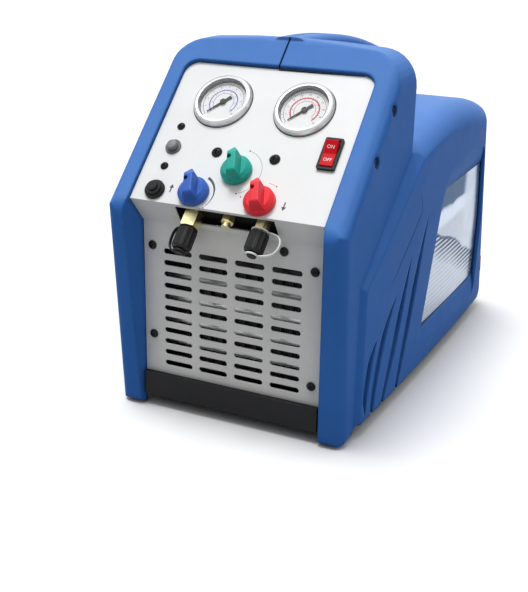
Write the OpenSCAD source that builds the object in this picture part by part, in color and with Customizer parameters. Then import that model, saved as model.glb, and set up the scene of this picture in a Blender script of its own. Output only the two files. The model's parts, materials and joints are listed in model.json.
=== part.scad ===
// Portable refrigerant recovery machine: two moulded side shells around a folded front panel,
// with gauges, valves, switches, hose ports and the compressor, condenser and fan inside.
// Millimetres, Z up, front towards -Y, origin on the ground under the middle.

/* [Body] */
// Width across the rear body
body_w = 260; // [250:1:290]
// Length from the front of the pillars to the rear face
body_l = 465; // [445:1:500]
// Height of the front frame and the handle at the middle
frame_h = 347; // [338:1:370]
// How far the front frame's sides lie inside the rear body's
frame_inset = 12.5; // [9:0.5:15]
// Width of each front pillar
pillar_w = 21; // [18:0.5:23]
// Depth of the front frame behind the panel's lower edge
frame_depth = 158; // [150:1:166]
// Wall thickness of the moulded shells
wall = 4.5; // [3:0.5:5]
// Rounding of the front frame's outer edges
edge_r = 12; // [6:1:13]
// Rounding of the front frame's top corners
corner_r = 34; // [20:1:45]
// How far the pillars run back at the ground
toe_back = 17; // [8:1:20]
// Rounding where the pillars meet the sloping face
kink_r = 20; // [8:1:30]
// Highest point of the rear deck
deck_z = 272; // [262:1:282]
// Rounding of the rear deck's long edges
deck_edge_r = 30; // [20:1:40]
// Rounding of the rear upright corners
rear_r = 26; // [16:1:34]
// Height of the shells' lower edge
skirt_z = 14; // [12:1:20]
// Height of the pillars' lower ends
pillar_z = 3; // [2:1:6]

/* [Control panel] */
// Lean of the control panel back from upright
lean = 45.5; // [42:0.5:50]
// Height of the control panel's lower edge
console_z = 210; // [200:1:220]
// Visible length of the control panel up its slope
console_len = 157; // [150:1:166]
// How far the frame stands proud of the panel
frame_proud = 4; // [3:0.5:7]
// Distance of each gauge from the middle
gauge_u = 41; // [34:0.5:46]
// Height of the gauges up the slope
gauge_v = 114; // [106:1:118]
// Radius of a gauge's bezel
gauge_r = 28.5; // [25:0.5:31]
// Shift of the gauges and valves from the middle, to the right
dash_u = -2.3; // [-3:0.1:3]
// Distance of the outer valve knobs from the middle
knob_u = 32.5; // [30:0.5:36]
// Height of the outer valve knobs up the slope
knob_v = 14.5; // [14:0.5:18]
// Height of the middle valve knob up the slope
mode_v = 42; // [40:0.5:45]
// Radius of a valve knob's skirt
knob_r = 14.5; // [11:0.5:15]
// Length of a valve knob's pointer from its axis
knob_tip = 20; // [17:0.5:21]
// Distance of the power switch from the opening's right side
switch_edge = 18.5; // [15:0.5:26]
// Position of the power switch up the slope
switch_v = 70.5; // [62:1:80]
// Distance of the two round buttons from the opening's left side
button_edge = 22.5; // [19:0.5:28]

/* [Grille] */
// Number of slot columns
slot_cols = 4; // [2:1:4]
// Number of slot rows
slot_rows = 11; // [5:1:11]
// Length of a slot
slot_l = 29.5; // [20:0.5:33]
// Height of a slot
slot_h = 5.2; // [3:0.2:7]
// Spacing of the slot columns
slot_pitch_x = 36.9; // [35:0.1:39]
// Spacing of the slot rows
slot_pitch_z = 11.24; // [9:0.02:11.4]
// Height of the top slot row
slot_top_z = 160; // [156:1:164]

/* [Ports] */
// Distance of the hose ports from the middle
port_u = 34; // [31:0.5:36]
// Depth of the ports' axes behind the panel's face
port_n = 12.5; // [12:0.5:14]
// Radius of a port cap
cap_r = 9; // [8.5:0.25:10]
// Length of a port cap
cap_l = 23; // [20:1:26]

/* [Inside] */
// Radius of the compressor's motor
motor_r = 52; // [40:1:56]
// Radius of the fan
fan_r = 62; // [45:1:66]
// Number of fan blades
fan_blades = 5; // [3:1:7]

/* [Part] */

/* [Hidden] */
$fn = 64;
far = 900;
body_hw = body_w / 2;
frame_hw = body_hw - frame_inset;
opening_hw = frame_hw - pillar_w;
console_back = 10;
bumper_proud = 4;
input_cap_v = 17;
output_cap_v = 9;
cap_tip = input_cap_v + cap_l;
front_reach = max(console_back, cap_tip * sin(lean) + (cap_r - port_n) * cos(lean));
total_l = front_reach + body_l - console_back + bumper_proud;
panel_y = front_reach - total_l / 2;
front_y = panel_y - console_back;
rear_y = front_y + body_l;
frame_rear_y = panel_y + frame_depth;
seam = 0.25;
sheet = 1.2;
film = 0.5;
fit = 0.4;
under_d = 15;
under_h = 23;
grille_y = panel_y + under_d;
grille_hw = opening_hw - 5.5;
grille_z0 = 36;
panel_hw = frame_hw - wall - 12;
panel_top_v = console_len + 8;
opening_r = 14;
roof_drop = 8;
roof_r = 600;
roof_fall = 4;
pillar_depth = 28;
ridge_y = panel_y + 34;
ridge_z = 148;
ridge_a = 38.2;
ridge_band = 18;
bulge_r = 7200;
bulge_y = rear_y - 75;
deck_r = 460;
deck_y = rear_y - 161;
rear_hw = body_hw - 27;
rear_low_z = 40;
rear_a = 10.8;
rear_top_z = deck_z - 6;
handle_r = 807;
handle_w = 34;
handle_t = 30;
handle_edge = 9;
handle_bend = 30;
handle_y = panel_y + 137;
bend_y = rear_y - 77;
floor_hw = frame_hw - wall - 3;
foot_x = floor_hw - 18;
foot_front_y = grille_y + 40;
foot_rear_y = rear_y - 70;
tray_z = 12;
tray_t = 2;
tray_lip_z = grille_z0;
tray_hw = grille_hw - 0.5;
bezel_h = 5;
can_r = gauge_r - 3;
shaft_r = 3;
run = 0.05;
knob_gap = 0.9;
knob_turn = 16.5;
dial_n = -1.5;
lens_n = 1.8;
lens_t = 1.2;
mani_n0 = -34;
mani_n1 = -6;
mani_v0 = 4;
mani_v1 = 66;
mani_hw = 47;
nipple_r = 6.5;
purge_r = 5;
switch_w = 17;
switch_l = 32.4;
rocker_a = 10;
switch_u = opening_hw - switch_edge;
button_u = button_edge - opening_hw;
reset_v = 59;
breaker_v = 12;
window = [[186, 29, 12], [252, 214, 62], [body_l - 67, 210, 16], [body_l - 55, 120, 80],
  [body_l - 63, 29, 16]];
sill_z = 53;
lintel_z = 189;
sill_rise = 24;
slashes = [[[70, 88], [53.5, 62], [51, 18]], [[115, 117], [84, 78], [67, -6]],
  [[151, 146], [123.5, 82], [84, -4]], [[194, 176], [166, 110], [121, -12]]];
slash_w = 14;
slash_d = 3;
hook = [[[167, 204], [172.4, 195.6], [175, 185]], [[175, 187], [138, 160.5], [101, 133]]];
hook_w = 2.6;
hook_d = 1.5;
screw_spots = [[-28.8, 59, 5], [28.8, 59, 5], [button_u - 1, 82, 3.8],
  [button_u - 1, 38, 3.8]];
screw_x = grille_hw - 9;
grille_spots = [[-screw_x, 164], [screw_x, 164], [-screw_x, 75], [screw_x, 55], [30 - screw_x, 178],
  [screw_x - 30, 178]];
slope_len = (frame_h - console_z) / cos(lean);
side_spots = [[slope_len * 0.66, -9], [slope_len * 0.3786, -9]];
valve_spots = [[dash_u - knob_u, knob_v], [dash_u, mode_v], [dash_u + knob_u, knob_v]];

function unit(v) = v / norm(v);
function face_pt(v, n) = [panel_y + v * sin(lean) - n * cos(lean), console_z + v * cos(lean) + n * sin(lean)];
function corner(p, r) = [p[0], p[1], r];
function local(p) = [panel_y + p[0], p[1], p[2]];
function xy(p) = [p[0], p[1]];
// Half-width of the rear body's gently bowed side at y, drawn in by t
function skin_x(y, t) = body_hw - t - pow(y - bulge_y, 2) / (2 * bulge_r);
// Arc that rounds corner q between its neighbours p and s
function round_off(p, q, s, r, n) =
  r <= 0 ? [q] :
  let (a = unit(p - q), b = unit(s - q), half = acos(a * b) / 2,
    c = q + unit(a + b) * r / sin(half), p0 = q + a * r / tan(half) - c, p1 = q + b * r / tan(half) - c,
    a0 = atan2(p0[1], p0[0]), turn = atan2(p0[0] * p1[1] - p0[1] * p1[0], p0 * p1))
  [for (i = [0:n]) c + r * [cos(a0 + turn * i / n), sin(a0 + turn * i / n)]];
// Polygon whose corners [x, y, radius] are rounded
function rounded(c, n = 6) =
  let (m = len(c))
  [for (i = [0:m - 1]) each round_off(xy(c[(i + m - 1) % m]), xy(c[i]), xy(c[(i + 1) % m]), c[i][2], n)];
function left_of(a, b) = let (d = unit(b - a)) [-d[1], d[0]];
// Point of a path moved sideways by t, mitred at its bends
function mitre(p, i, t) =
  let (m = len(p) - 1, n0 = left_of(p[max(i - 1, 0)], p[max(i, 1)]),
    n1 = left_of(p[min(i, m - 1)], p[min(i + 1, m)]))
  p[i] + (n0 + n1) * t / (1 + n0 * n1);
// Outline of a folded sheet of thickness t along path p
function folded(p, t) = concat(p, [for (i = [len(p) - 1:-1:0]) mitre(p, i, t)]);
function circle_of(a, b, c) =
  let (d = 2 * (a[0] * (b[1] - c[1]) + b[0] * (c[1] - a[1]) + c[0] * (a[1] - b[1])))
  [((a * a) * (b[1] - c[1]) + (b * b) * (c[1] - a[1]) + (c * c) * (a[1] - b[1])) / d,
   ((a * a) * (c[0] - b[0]) + (b * b) * (a[0] - c[0]) + (c * c) * (b[0] - a[0])) / d];
// Curved groove through three points, w wide in the middle and pointed at both ends
function slash(p, w, n = 10) =
  let (c = circle_of(p[0], p[1], p[2]), r = norm(p[0] - c), u = p[0] - c, v = p[2] - c,
    a0 = atan2(u[1], u[0]), turn = atan2(u[0] * v[1] - u[1] * v[0], u * v))
  concat([for (i = [0:n]) let (a = a0 + turn * i / n) c + (r + w / 2 * sin(180 * i / n)) * [cos(a), sin(a)]],
    [for (i = [n - 1:-1:1]) let (a = a0 + turn * i / n) c + (r - w / 2 * sin(180 * i / n)) * [cos(a), sin(a)]]);

// Outline in Y and Z, drawn out across X
module across(points, hw) {
  rotate([90, 0, 90])
    linear_extrude(height = 2 * hw, center = true)
      polygon(points);
}

// Frame of the sloping panel: x to the right, y up the slope, z out of the face
module on_panel(u = 0, v = 0, n = 0) {
  translate([0, panel_y, console_z])
    rotate([90 - lean, 0, 0])
      translate([u, v, n])
        children();
}

// Frame of a port: z along the port, out of the machine
module on_port(u, v) {
  on_panel(u, v, -port_n)
    rotate([90, 0, 0])
      children();
}

// Frame of the leaning rear face: z up the face, y out of it
module on_rear() {
  translate([0, rear_y, rear_low_z])
    rotate([rear_a, 0, 0])
      children();
}

// Solid outline of the front frame, drawn in by t
module front_form(t) {
  p = frame_proud;
  low = t > 0 ? -20 : pillar_z;
  skirt = t > 0 ? -20 : skirt_z;
  kink_v = (front_y + t - panel_y + p * cos(lean)) / sin(lean);
  top_v = (frame_h - t - console_z - p * sin(lean)) / cos(lean);
  kink = face_pt(kink_v, p);
  toe_a = atan(toe_back / (kink[1] - pillar_z));
  hw = frame_hw - t;
  side = [[front_y + toe_back + t, low, t > 0 ? 0 : 5], corner(kink, kink_r), corner(face_pt(top_v, p), 14),
    [frame_rear_y - t, frame_h - t - roof_fall, 10], [frame_rear_y - t, skirt, 0],
    [panel_y + pillar_depth + 12, skirt, t > 0 ? 0 : 8], [panel_y + pillar_depth, low, t > 0 ? 0 : 5]];
  intersection() {
    across(rounded(side), far / 2);
    translate([0, far / 2, 0])
      rotate([90, 0, 0])
        linear_extrude(height = far)
          polygon(rounded([[-hw, low, t > 0 ? 0 : 6], [hw, low, t > 0 ? 0 : 6],
            [hw, frame_h - t - roof_drop, corner_r - t], [0, frame_h - t, roof_r],
            [-hw, frame_h - t - roof_drop, corner_r - t]], 8));
    on_panel(0, far / 2)
      rotate([90, 0, 0])
        linear_extrude(height = far)
          polygon(rounded([[-hw, -far / 2, 0], [hw, -far / 2, 0], [hw, p, max(edge_r - t, 0)],
            [-hw, p, max(edge_r - t, 0)]]));
    translate([0, front_y + toe_back + t, pillar_z])
      rotate([toe_a, 0, 0])
        translate([0, 0, -far / 2])
          linear_extrude(height = far)
            polygon(rounded([[-hw, 0, max(edge_r - t, 0)], [hw, 0, max(edge_r - t, 0)], [hw, far, 0], [-hw, far, 0]]));
  }
}

// Solid outline of the rear body, drawn in by t: an arched deck, a leaning rear face and
// an outer skin that starts at the sloping ridge behind the front frame
module rear_form(t) {
  hw = body_hw - t;
  er = deck_edge_r - t;
  low = t > 0 ? -20 : skirt_z;
  top_y = rear_y - t - (rear_top_z - t - rear_low_z) * tan(rear_a);
  side = [[panel_y + 20, low, 0], [rear_y - t - 26, low, t > 0 ? 0 : 10], [rear_y - t, rear_low_z, 14],
    [top_y, rear_top_z - t, 50 - t], [top_y - 120, deck_z + 3 - t, 0], [panel_y + 20, deck_z + 40, 0]];
  difference() {
    intersection() {
      across(rounded(side, 8), far / 2);
      translate([0, deck_y, deck_z - deck_r])
        rotate([0, 90, 0])
          rotate_extrude($fn = 180) {
            translate([deck_r - 330, -hw])
              square([330 - deck_edge_r, 2 * hw]);
            translate([deck_r - 330, er - hw])
              square([330 - t, 2 * (hw - er)]);
            for (s = [-1, 1])
              translate([deck_r - deck_edge_r, s * (hw - er)])
                circle(r = er);
          }
      translate([0, rear_y - t, rear_low_z])
        rotate([rear_a, 0, 0])
          translate([0, 0, -far / 2])
            linear_extrude(height = far)
              polygon(rounded([[hw, 0, rear_r - t], [-hw, 0, rear_r - t], [-hw, -far, 0], [hw, -far, 0]]));
      bowed_side(t);
    }
    ridge_cut(t);
  }
}

// Round bar whose face is the bowed right side of the rear body, drawn in by t
module bowed_side(t) {
  translate([body_hw - bulge_r, bulge_y, -far / 2])
    cylinder(r = bulge_r - t, h = far, $fn = 720);
}

// Space in front of the ridge, bounded by a sloping band that steps out to the rear body
module ridge_cut(t) {
  step = body_hw - frame_hw;
  translate([frame_hw, ridge_y, 0])
    rotate([0, 0, -atan2(step, ridge_band)])
      translate([-t, -far / 2, -far / 2])
        cube([far, far, far]);
  translate([frame_hw, ridge_y, ridge_z])
    rotate([ridge_a, 0, 0])
      rotate([0, atan2(ridge_band, step), 0])
        translate([-far / 2, -far / 2, -t])
          cube([far, far, far]);
}

// Cross-section of the handle, its middle at the origin, drawn in by t
module handle_section(t = 0) {
  flat_t = handle_t / 2 - handle_edge;
  flat_w = handle_w / 2 - handle_edge;
  square([handle_t - 2 * t, 2 * flat_w], center = true);
  square([2 * flat_t, handle_w - 2 * t], center = true);
  for (x = [-flat_t, flat_t], y = [-flat_w, flat_w])
    translate([x, y])
      circle(r = handle_edge - t);
}

// Bend of the handle around an axis across the machine, from angle a0 to a1 behind upright
module handle_bend(y, z, r, a0, a1, t = 0) {
  translate([0, y, z])
    rotate([0, -90, 0])
      rotate([0, 0, a0])
        rotate_extrude(angle = a1 - a0, $fn = 360)
          translate([r, 0])
            handle_section(t);
}

// Carrying handle: an arched bar from the front frame, bent down into the rear deck
module handle() {
  mid_r = handle_r - handle_t / 2;
  arc_z = frame_h - handle_r;
  a1 = asin((bend_y - handle_y) / mid_r);
  knee_y = handle_y + (mid_r - handle_bend) * sin(a1);
  knee_z = arc_z + (mid_r - handle_bend) * cos(a1);
  handle_bend(handle_y, arc_z, mid_r, -0.4, a1 + 0.15, 0.12);
  handle_bend(knee_y, knee_z, handle_bend, a1, 90);
  translate([0, knee_y + handle_bend, deck_z - 40])
    linear_extrude(height = knee_z - deck_z + 40)
      rotate([0, 0, 90])
        handle_section();
}

// Space behind the folded front panel
module behind_panel() {
  across([face_pt(300, 0), [panel_y, console_z], [grille_y, console_z - under_h], [grille_y, -50],
    [rear_y + 50, -50], [rear_y + 50, frame_h + 100]], far / 2);
}

// Opening that shows the sloping panel and the grille
module front_opening() {
  on_panel(0, 0, -1)
    linear_extrude(height = 80)
      polygon(rounded([[-opening_hw, -40, 0], [opening_hw, -40, 0], [opening_hw, console_len, opening_r],
        [-opening_hw, console_len, opening_r]]));
  translate([0, 0, -20])
    linear_extrude(height = console_z + 20)
      polygon([[-opening_hw - 2, front_y], [-opening_hw - 12, front_y - 50], [opening_hw + 12, front_y - 50],
        [opening_hw + 2, front_y], [grille_hw, grille_y], [-grille_hw, grille_y]]);
}

// Outline of the side window drawn across the wall, grown by extra
module side_window(extra, x0, x1) {
  translate([x0, 0, 0])
    rotate([90, 0, 90])
      linear_extrude(height = x1 - x0)
        polygon(rounded([for (p = window) let (q = local(p)) [q[0] + sign(p[0] - 290) * extra,
          q[1] + sign(p[1] - 130) * extra, q[2] + max(extra, 0)]], 8));
}

// Window with a sill and a lintel that slope in from the skin
module window_recess() {
  proud = 8;
  slope = sill_rise / wall * (wall + proud);
  intersection() {
    side_window(0, body_hw - wall - 12, body_hw + proud);
    translate([0, far / 2, 0])
      rotate([90, 0, 0])
        linear_extrude(height = far)
          polygon([[0, sill_z], [body_hw - wall, sill_z], [body_hw + proud, sill_z - slope],
            [body_hw + proud, lintel_z + slope], [body_hw - wall, lintel_z], [0, lintel_z]]);
  }
}

// Curved groove cut d deep into the right side
module side_groove(p, w, d) {
  translate([skin_x(panel_y + p[1][0], d), 0, 0])
    rotate([90, 0, 90])
      linear_extrude(height = 30)
        polygon([for (q = slash(p, w)) [panel_y + q[0], q[1]]]);
}

module rear_outline(hw, z0, z1, r) {
  rotate([90, 0, 0])
    translate([0, 0, -30])
      linear_extrude(height = 60)
        polygon(rounded([[-hw, z0, r], [hw, z0, r], [hw, z1, r], [-hw, z1, r]]));
}

// Frame of a screw in the right side of the front frame: z out of the counterbore's floor
module on_side(p) {
  q = face_pt(p[0], p[1]);
  translate([frame_hw - 3.2, q[0], q[1]])
    rotate([0, 90, 0])
      children();
}

// Lugs inside the right shell that meet the tray's side flange
module tray_lugs() {
  for (y = [panel_y + 120, panel_y + 320])
    translate([floor_hw, y, tray_z + 4])
      cube([skin_x(y, wall / 2) - floor_hw, 24, 14]);
}

// Right half of the moulded case
module shell_half() {
  tray_lugs();
  difference() {
    union() {
      front_form(0);
      rear_form(0);
      handle();
    }
    intersection() {
      behind_panel();
      union() {
        front_form(wall);
        rear_form(wall);
      }
    }
    front_opening();
    on_rear()
      rear_outline(rear_hw - 7, 14, 182, 12);
    window_recess();
    for (p = slashes)
      side_groove(p, slash_w, slash_d);
    for (p = hook)
      side_groove(p, hook_w, hook_d);
    for (p = side_spots)
      on_side(p)
        cylinder(r = 5.6, h = 20);
    for (p = side_spots)
      on_side(p)
        translate([0, 0, -20])
          cylinder(r = 2.2, h = 30);
    for (y = [handle_y + 63, bend_y - 58])
      translate([handle_w / 2 - 8, y, frame_h - 15 - pow(y - handle_y, 2) / (2 * handle_r)])
        rotate([0, 90, 0])
          cylinder(r = 3.4, h = 20);
    translate([seam - far, -far / 2, -far / 2])
      cube([far, far, far]);
  }
}

module right_shell() {
  color("royalblue")
    shell_half();
}

module left_shell() {
  color("royalblue")
    mirror([1, 0, 0])
      shell_half();
}

// Holes that the panel's fittings pass through
module panel_holes() {
  on_panel(0, 0, -10)
    linear_extrude(height = 20) {
      for (s = [-1, 1])
        translate([dash_u + s * gauge_u, gauge_v])
          circle(r = can_r + fit);
      for (p = valve_spots)
        translate(p)
          circle(r = shaft_r + 1.5);
      translate([switch_u, switch_v])
        square([switch_w - 2.6, switch_l - 3.2], center = true);
      translate([button_u, reset_v])
        circle(r = 6.2);
      translate([button_u, breaker_v])
        circle(r = 6.7);
      for (p = screw_spots)
        translate([p[0], p[1]])
          circle(r = 2.2);
    }
}

module front_panel() {
  top = face_pt(panel_top_v, 0);
  path = [top, [panel_y, console_z], [grille_y, console_z - under_h], [grille_y, grille_z0],
    [grille_y + 12, grille_z0]];
  color("silver")
    difference() {
      across(folded(path, sheet), panel_hw);
      panel_holes();
      // cut-out for the ports in the underside of the console
      on_panel(0, 0, -21)
        translate([-50, -20, 0])
          cube([98, 23, 19]);
      for (i = [0:slot_cols - 1], j = [0:slot_rows - 1])
        translate([(i - (slot_cols - 1) / 2) * slot_pitch_x, grille_y + 5, slot_top_z - j * slot_pitch_z])
          rotate([90, 0, 0])
            linear_extrude(height = 10) {
              square([slot_l - slot_h, slot_h], center = true);
              for (s = [-1, 1])
                translate([s * (slot_l - slot_h) / 2, 0])
                  circle(d = slot_h);
            }
      for (p = grille_spots)
        translate([p[0], grille_y + 5, p[1]])
          rotate([90, 0, 0])
            cylinder(r = 2.2, h = 10);
    }
}

// White printed film on the sloping panel
module panel_overlay() {
  color("white")
    difference() {
      on_panel()
        linear_extrude(height = film)
          polygon(rounded([[-opening_hw + fit, 0.3, 0], [opening_hw - fit, 0.3, 0],
            [opening_hw - fit, console_len - fit, opening_r], [-opening_hw + fit, console_len - fit, opening_r]]));
      panel_holes();
    }
}

module base_tray() {
  tray_rear = rear_y - 40;
  color("black")
    difference() {
      union() {
        translate([-tray_hw, grille_y - 5, tray_z])
          cube([2 * tray_hw, 30, tray_t]);
        translate([-tray_hw, grille_y - 5, tray_z])
          cube([2 * tray_hw, tray_t, tray_lip_z - tray_z]);
        translate([-tray_hw, grille_y - 5, tray_lip_z - tray_t])
          cube([2 * tray_hw, 16, tray_t]);
        translate([-floor_hw, grille_y + 8, tray_z])
          cube([2 * floor_hw, tray_rear - grille_y - 8, tray_t]);
        for (s = [-1, 1])
          translate([s * (floor_hw - tray_t / 2) - tray_t / 2, grille_y + 8, tray_z])
            cube([tray_t, tray_rear - grille_y - 8, 20]);
        translate([-floor_hw, tray_rear - tray_t, tray_z])
          cube([2 * floor_hw, tray_t, 20]);
      }
      for (x = [-foot_x, foot_x], y = [foot_front_y, foot_rear_y])
        translate([x, y, tray_z - 5])
          cylinder(r = 4, h = 20);
    }
}

module rubber_feet() {
  color("dimgray")
    for (x = [-foot_x, foot_x], y = [foot_front_y, foot_rear_y])
      translate([x, y, 0]) {
        cylinder(r1 = 12, r2 = 14, h = tray_z);
        cylinder(r = 4, h = tray_z + tray_t);
        translate([0, 0, tray_z + tray_t])
          cylinder(r1 = 6, r2 = 4, h = 4);
      }
}

// Rubber pads around the lower rear corners, for standing the machine on its back
module rear_bumpers() {
  pad = [[body_hw, 0, rear_r], [-body_hw, 0, rear_r], [-body_hw, -80, 0], [body_hw, -80, 0]];
  color("black")
    on_rear()
      translate([0, 0, 8])
        linear_extrude(height = 19)
          intersection() {
            difference() {
              translate([0, bumper_proud])
                polygon(rounded(pad));
              polygon(rounded(pad));
            }
            for (s = [-1, 1])
              translate([s * (body_hw - 15), 0])
                square([26, 60], center = true);
          }
}

// Folded steel back with an air outlet and the power inlet's cut-out
module rear_panel() {
  color("silver")
    on_rear()
      difference() {
        translate([-rear_hw, -wall - sheet, 8])
          cube([2 * rear_hw, sheet, 182]);
        for (j = [0:9], s = [-1, 1])
          translate([s * 38, 0, 68 + j * 11])
            rotate([90, 0, 0])
              linear_extrude(height = 30) {
                square([54, 5], center = true);
                for (e = [-1, 1])
                  translate([e * 27, 0])
                    circle(d = 5);
              }
        translate([40, -15, 20])
          cube([28, 30, 21]);
      }
}

// Plate behind the window, bowed like the shell's inner face
module side_plate() {
  intersection() {
    side_window(-3, body_hw - wall - 12, body_hw);
    translate([body_hw - 30, -far / 2, sill_z - 4])
      cube([60, far, lintel_z - sill_z + 8]);
    difference() {
      bowed_side(wall + 0.02);
      bowed_side(wall + 1.5);
    }
  }
}

module right_side_plate() {
  color("whitesmoke")
    side_plate();
}

module left_side_plate() {
  color("whitesmoke")
    mirror([1, 0, 0])
      side_plate();
}

// Steel gauge can with a rolled bezel, open at the front for dial and glass
module gauge_case(s) {
  inner = can_r - 1;
  on_panel(dash_u + s * gauge_u, gauge_v, film)
    rotate_extrude()
      difference() {
        union() {
          translate([0, -24])
            square([can_r, 24]);
          polygon([[0, 0], [gauge_r - 0.6, 0], [gauge_r, 0.8], [gauge_r, bezel_h - 3], [gauge_r - 1.2, bezel_h - 0.8],
            [gauge_r - 3, bezel_h], [gauge_r - 4, bezel_h - 0.2], [0, bezel_h - 0.2]]);
          translate([0, -40])
            square([6.5, 17]);
        }
        translate([-1, dial_n])
          square([inner + 0.2, 10]);
        translate([-1, lens_n])
          square([inner + 1, lens_t]);
      }
}

module gauge_dial(s) {
  on_panel(dash_u + s * gauge_u, gauge_v, film + dial_n)
    rotate_extrude()
      translate([1, 0])
        square([can_r - 2.9, 0.8]);
}

// Pointer at zero, towards the lower left, with its shaft through the dial
module gauge_pointer(s) {
  on_panel(dash_u + s * gauge_u, gauge_v, film + dial_n + 0.4) {
    cylinder(r = 0.95, h = 1.2);
    translate([0, 0, 1])
      cylinder(r = 2.8, h = 1.4);
    rotate([0, 0, 225])
      translate([0, 0, 1.2])
        linear_extrude(height = 0.6)
          polygon([[-9, -1.4], [-9, 1.4], [0, 1], [can_r - 8, 0.35], [can_r - 8, -0.35], [0, -1]]);
  }
}

module gauge_lens(s) {
  on_panel(dash_u + s * gauge_u, gauge_v, film + lens_n)
    cylinder(r = can_r - 1.02, h = lens_t - 0.02);
}

module low_gauge_case() {
  color("lightsteelblue")
    gauge_case(-1);
}

module low_gauge_dial() {
  color("white")
    gauge_dial(-1);
}

module low_gauge_pointer() {
  color("black")
    gauge_pointer(-1);
}

module low_gauge_lens() {
  color("azure")
    gauge_lens(-1);
}

module high_gauge_case() {
  color("lightsteelblue")
    gauge_case(1);
}

module high_gauge_dial() {
  color("white")
    gauge_dial(1);
}

module high_gauge_pointer() {
  color("black")
    gauge_pointer(1);
}

module high_gauge_lens() {
  color("azure")
    gauge_lens(1);
}

// Valve block under the panel, bored for the three stems, the ports and the plug
module valve_manifold() {
  color("goldenrod")
    difference() {
      union() {
        on_panel(-mani_hw, mani_v0, mani_n0)
          cube([2 * mani_hw, mani_v1 - mani_v0, mani_n1 - mani_n0]);
        for (p = [screw_spots[0], screw_spots[1]])
          on_panel(p[0], p[1], mani_n1 - 1)
            cylinder(r = 5.5, h = 1 - mani_n1 - sheet - 0.02);
      }
      for (p = [screw_spots[0], screw_spots[1]])
        on_panel(p[0], p[1], mani_n1 - 4)
          cylinder(r = 2.05, h = 20);
      for (p = valve_spots)
        on_panel(p[0], p[1], mani_n0 + 14)
          cylinder(r = shaft_r + run, h = 60);
    }
}

// Moulded knob: bevelled round skirt under a tapered grip with a pointed end
module knob(spot) {
  on_panel(spot[0], spot[1], film + knob_gap)
    rotate([0, 0, knob_turn])
      difference() {
        union() {
          cylinder(r1 = knob_r, r2 = knob_r - 0.4, h = 4.5);
          translate([0, 0, 4.5])
            cylinder(r1 = knob_r - 0.4, r2 = knob_r - 4, h = 3);
          intersection() {
            linear_extrude(height = 17)
              polygon(rounded([[-7.5, -knob_r + 1, 4], [7.5, -knob_r + 1, 4], [7.5, 7, 2], [0, knob_tip, 1],
                [-7.5, 7, 2]], 4));
            translate([0, far / 2, 0])
              rotate([90, 0, 0])
                linear_extrude(height = far)
                  polygon(rounded([[-7.6, 0, 0], [7.6, 0, 0], [4.2, 17, 1.5], [-4.2, 17, 1.5]], 4));
            rotate([90, 0, 90])
              linear_extrude(height = 40, center = true)
                polygon(rounded([[-knob_r + 1, 0, 0], [knob_tip, 0, 0], [knob_tip, 9, 3], [knob_r - 5, 17, 3],
                  [-knob_r + 4.5, 17, 3]], 4));
          }
        }
        translate([0, 0, -1])
          cylinder(r = shaft_r, h = 9);
        translate([-2.4, 5.4, 11])
          cylinder(r = 2.2, h = 10);
      }
}

module input_knob() {
  color("royalblue")
    knob(valve_spots[0]);
}

module mode_knob() {
  color("teal")
    knob(valve_spots[1]);
}

module output_knob() {
  color("crimson")
    knob(valve_spots[2]);
}

module stem(spot) {
  on_panel(spot[0], spot[1], mani_n0 + 14.4)
    cylinder(r = shaft_r, h = film + knob_gap + 8 - mani_n0 - 14.4);
}

module input_stem() {
  color("goldenrod")
    stem(valve_spots[0]);
}

module mode_stem() {
  color("goldenrod")
    stem(valve_spots[1]);
}

module output_stem() {
  color("goldenrod")
    stem(valve_spots[2]);
}

// Brass inlet: square body and flare nipple
module input_port() {
  color("goldenrod")
    on_port(-port_u, mani_v0)
      difference() {
        union() {
          translate([-6.5, -6.5, 0])
            cube([13, 13, mani_v0 + input_cap_v - 3]);
          translate([0, 0, 1])
            cylinder(r = nipple_r, h = mani_v0 + input_cap_v + cap_l - 10);
        }
        translate([0, 0, 12])
          cylinder(r = 3, h = 60);
      }
}

// Short hexagon plug between the two ports
module purge_plug() {
  color("goldenrod")
    on_port(0, mani_v0) {
      cylinder(r = purge_r + 1.2, h = mani_v0 + 3, $fn = 6);
      cylinder(r = purge_r - 1, h = mani_v0 + 8);
    }
}

// Brass outlet: hexagon shoulder and flare nipple
module output_port() {
  color("goldenrod")
    on_port(port_u, mani_v0)
      difference() {
        union() {
          cylinder(r = 7.2, h = mani_v0 + output_cap_v - 3, $fn = 6);
          translate([0, 0, 1])
            cylinder(r = nipple_r, h = mani_v0 + output_cap_v + cap_l - 10);
        }
        translate([0, 0, 12])
          cylinder(r = 3, h = 60);
      }
}

// Ribbed plastic cap, closed at its outer end, with a knob for the strap's eye
module port_cap(u, v) {
  on_port(u, -v)
    difference() {
      union() {
        cylinder(r = cap_r - 0.6, h = cap_l - 5);
        for (a = [0:30:330])
          rotate([0, 0, a])
            translate([cap_r - 1.1, 0, 0])
              cylinder(r = 1.1, h = cap_l - 6, $fn = 24);
        translate([0, 0, cap_l - 5])
          cylinder(r1 = cap_r - 0.6, r2 = cap_r - 2.4, h = 1.5);
        cylinder(r = 4, h = cap_l);
      }
      translate([0, 0, -1])
        cylinder(r = nipple_r + 0.1, h = cap_l - 6.5);
    }
}

module input_cap() {
  color("black")
    port_cap(-port_u, input_cap_v);
}

module output_cap() {
  color("black")
    port_cap(port_u, output_cap_v);
}

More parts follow.
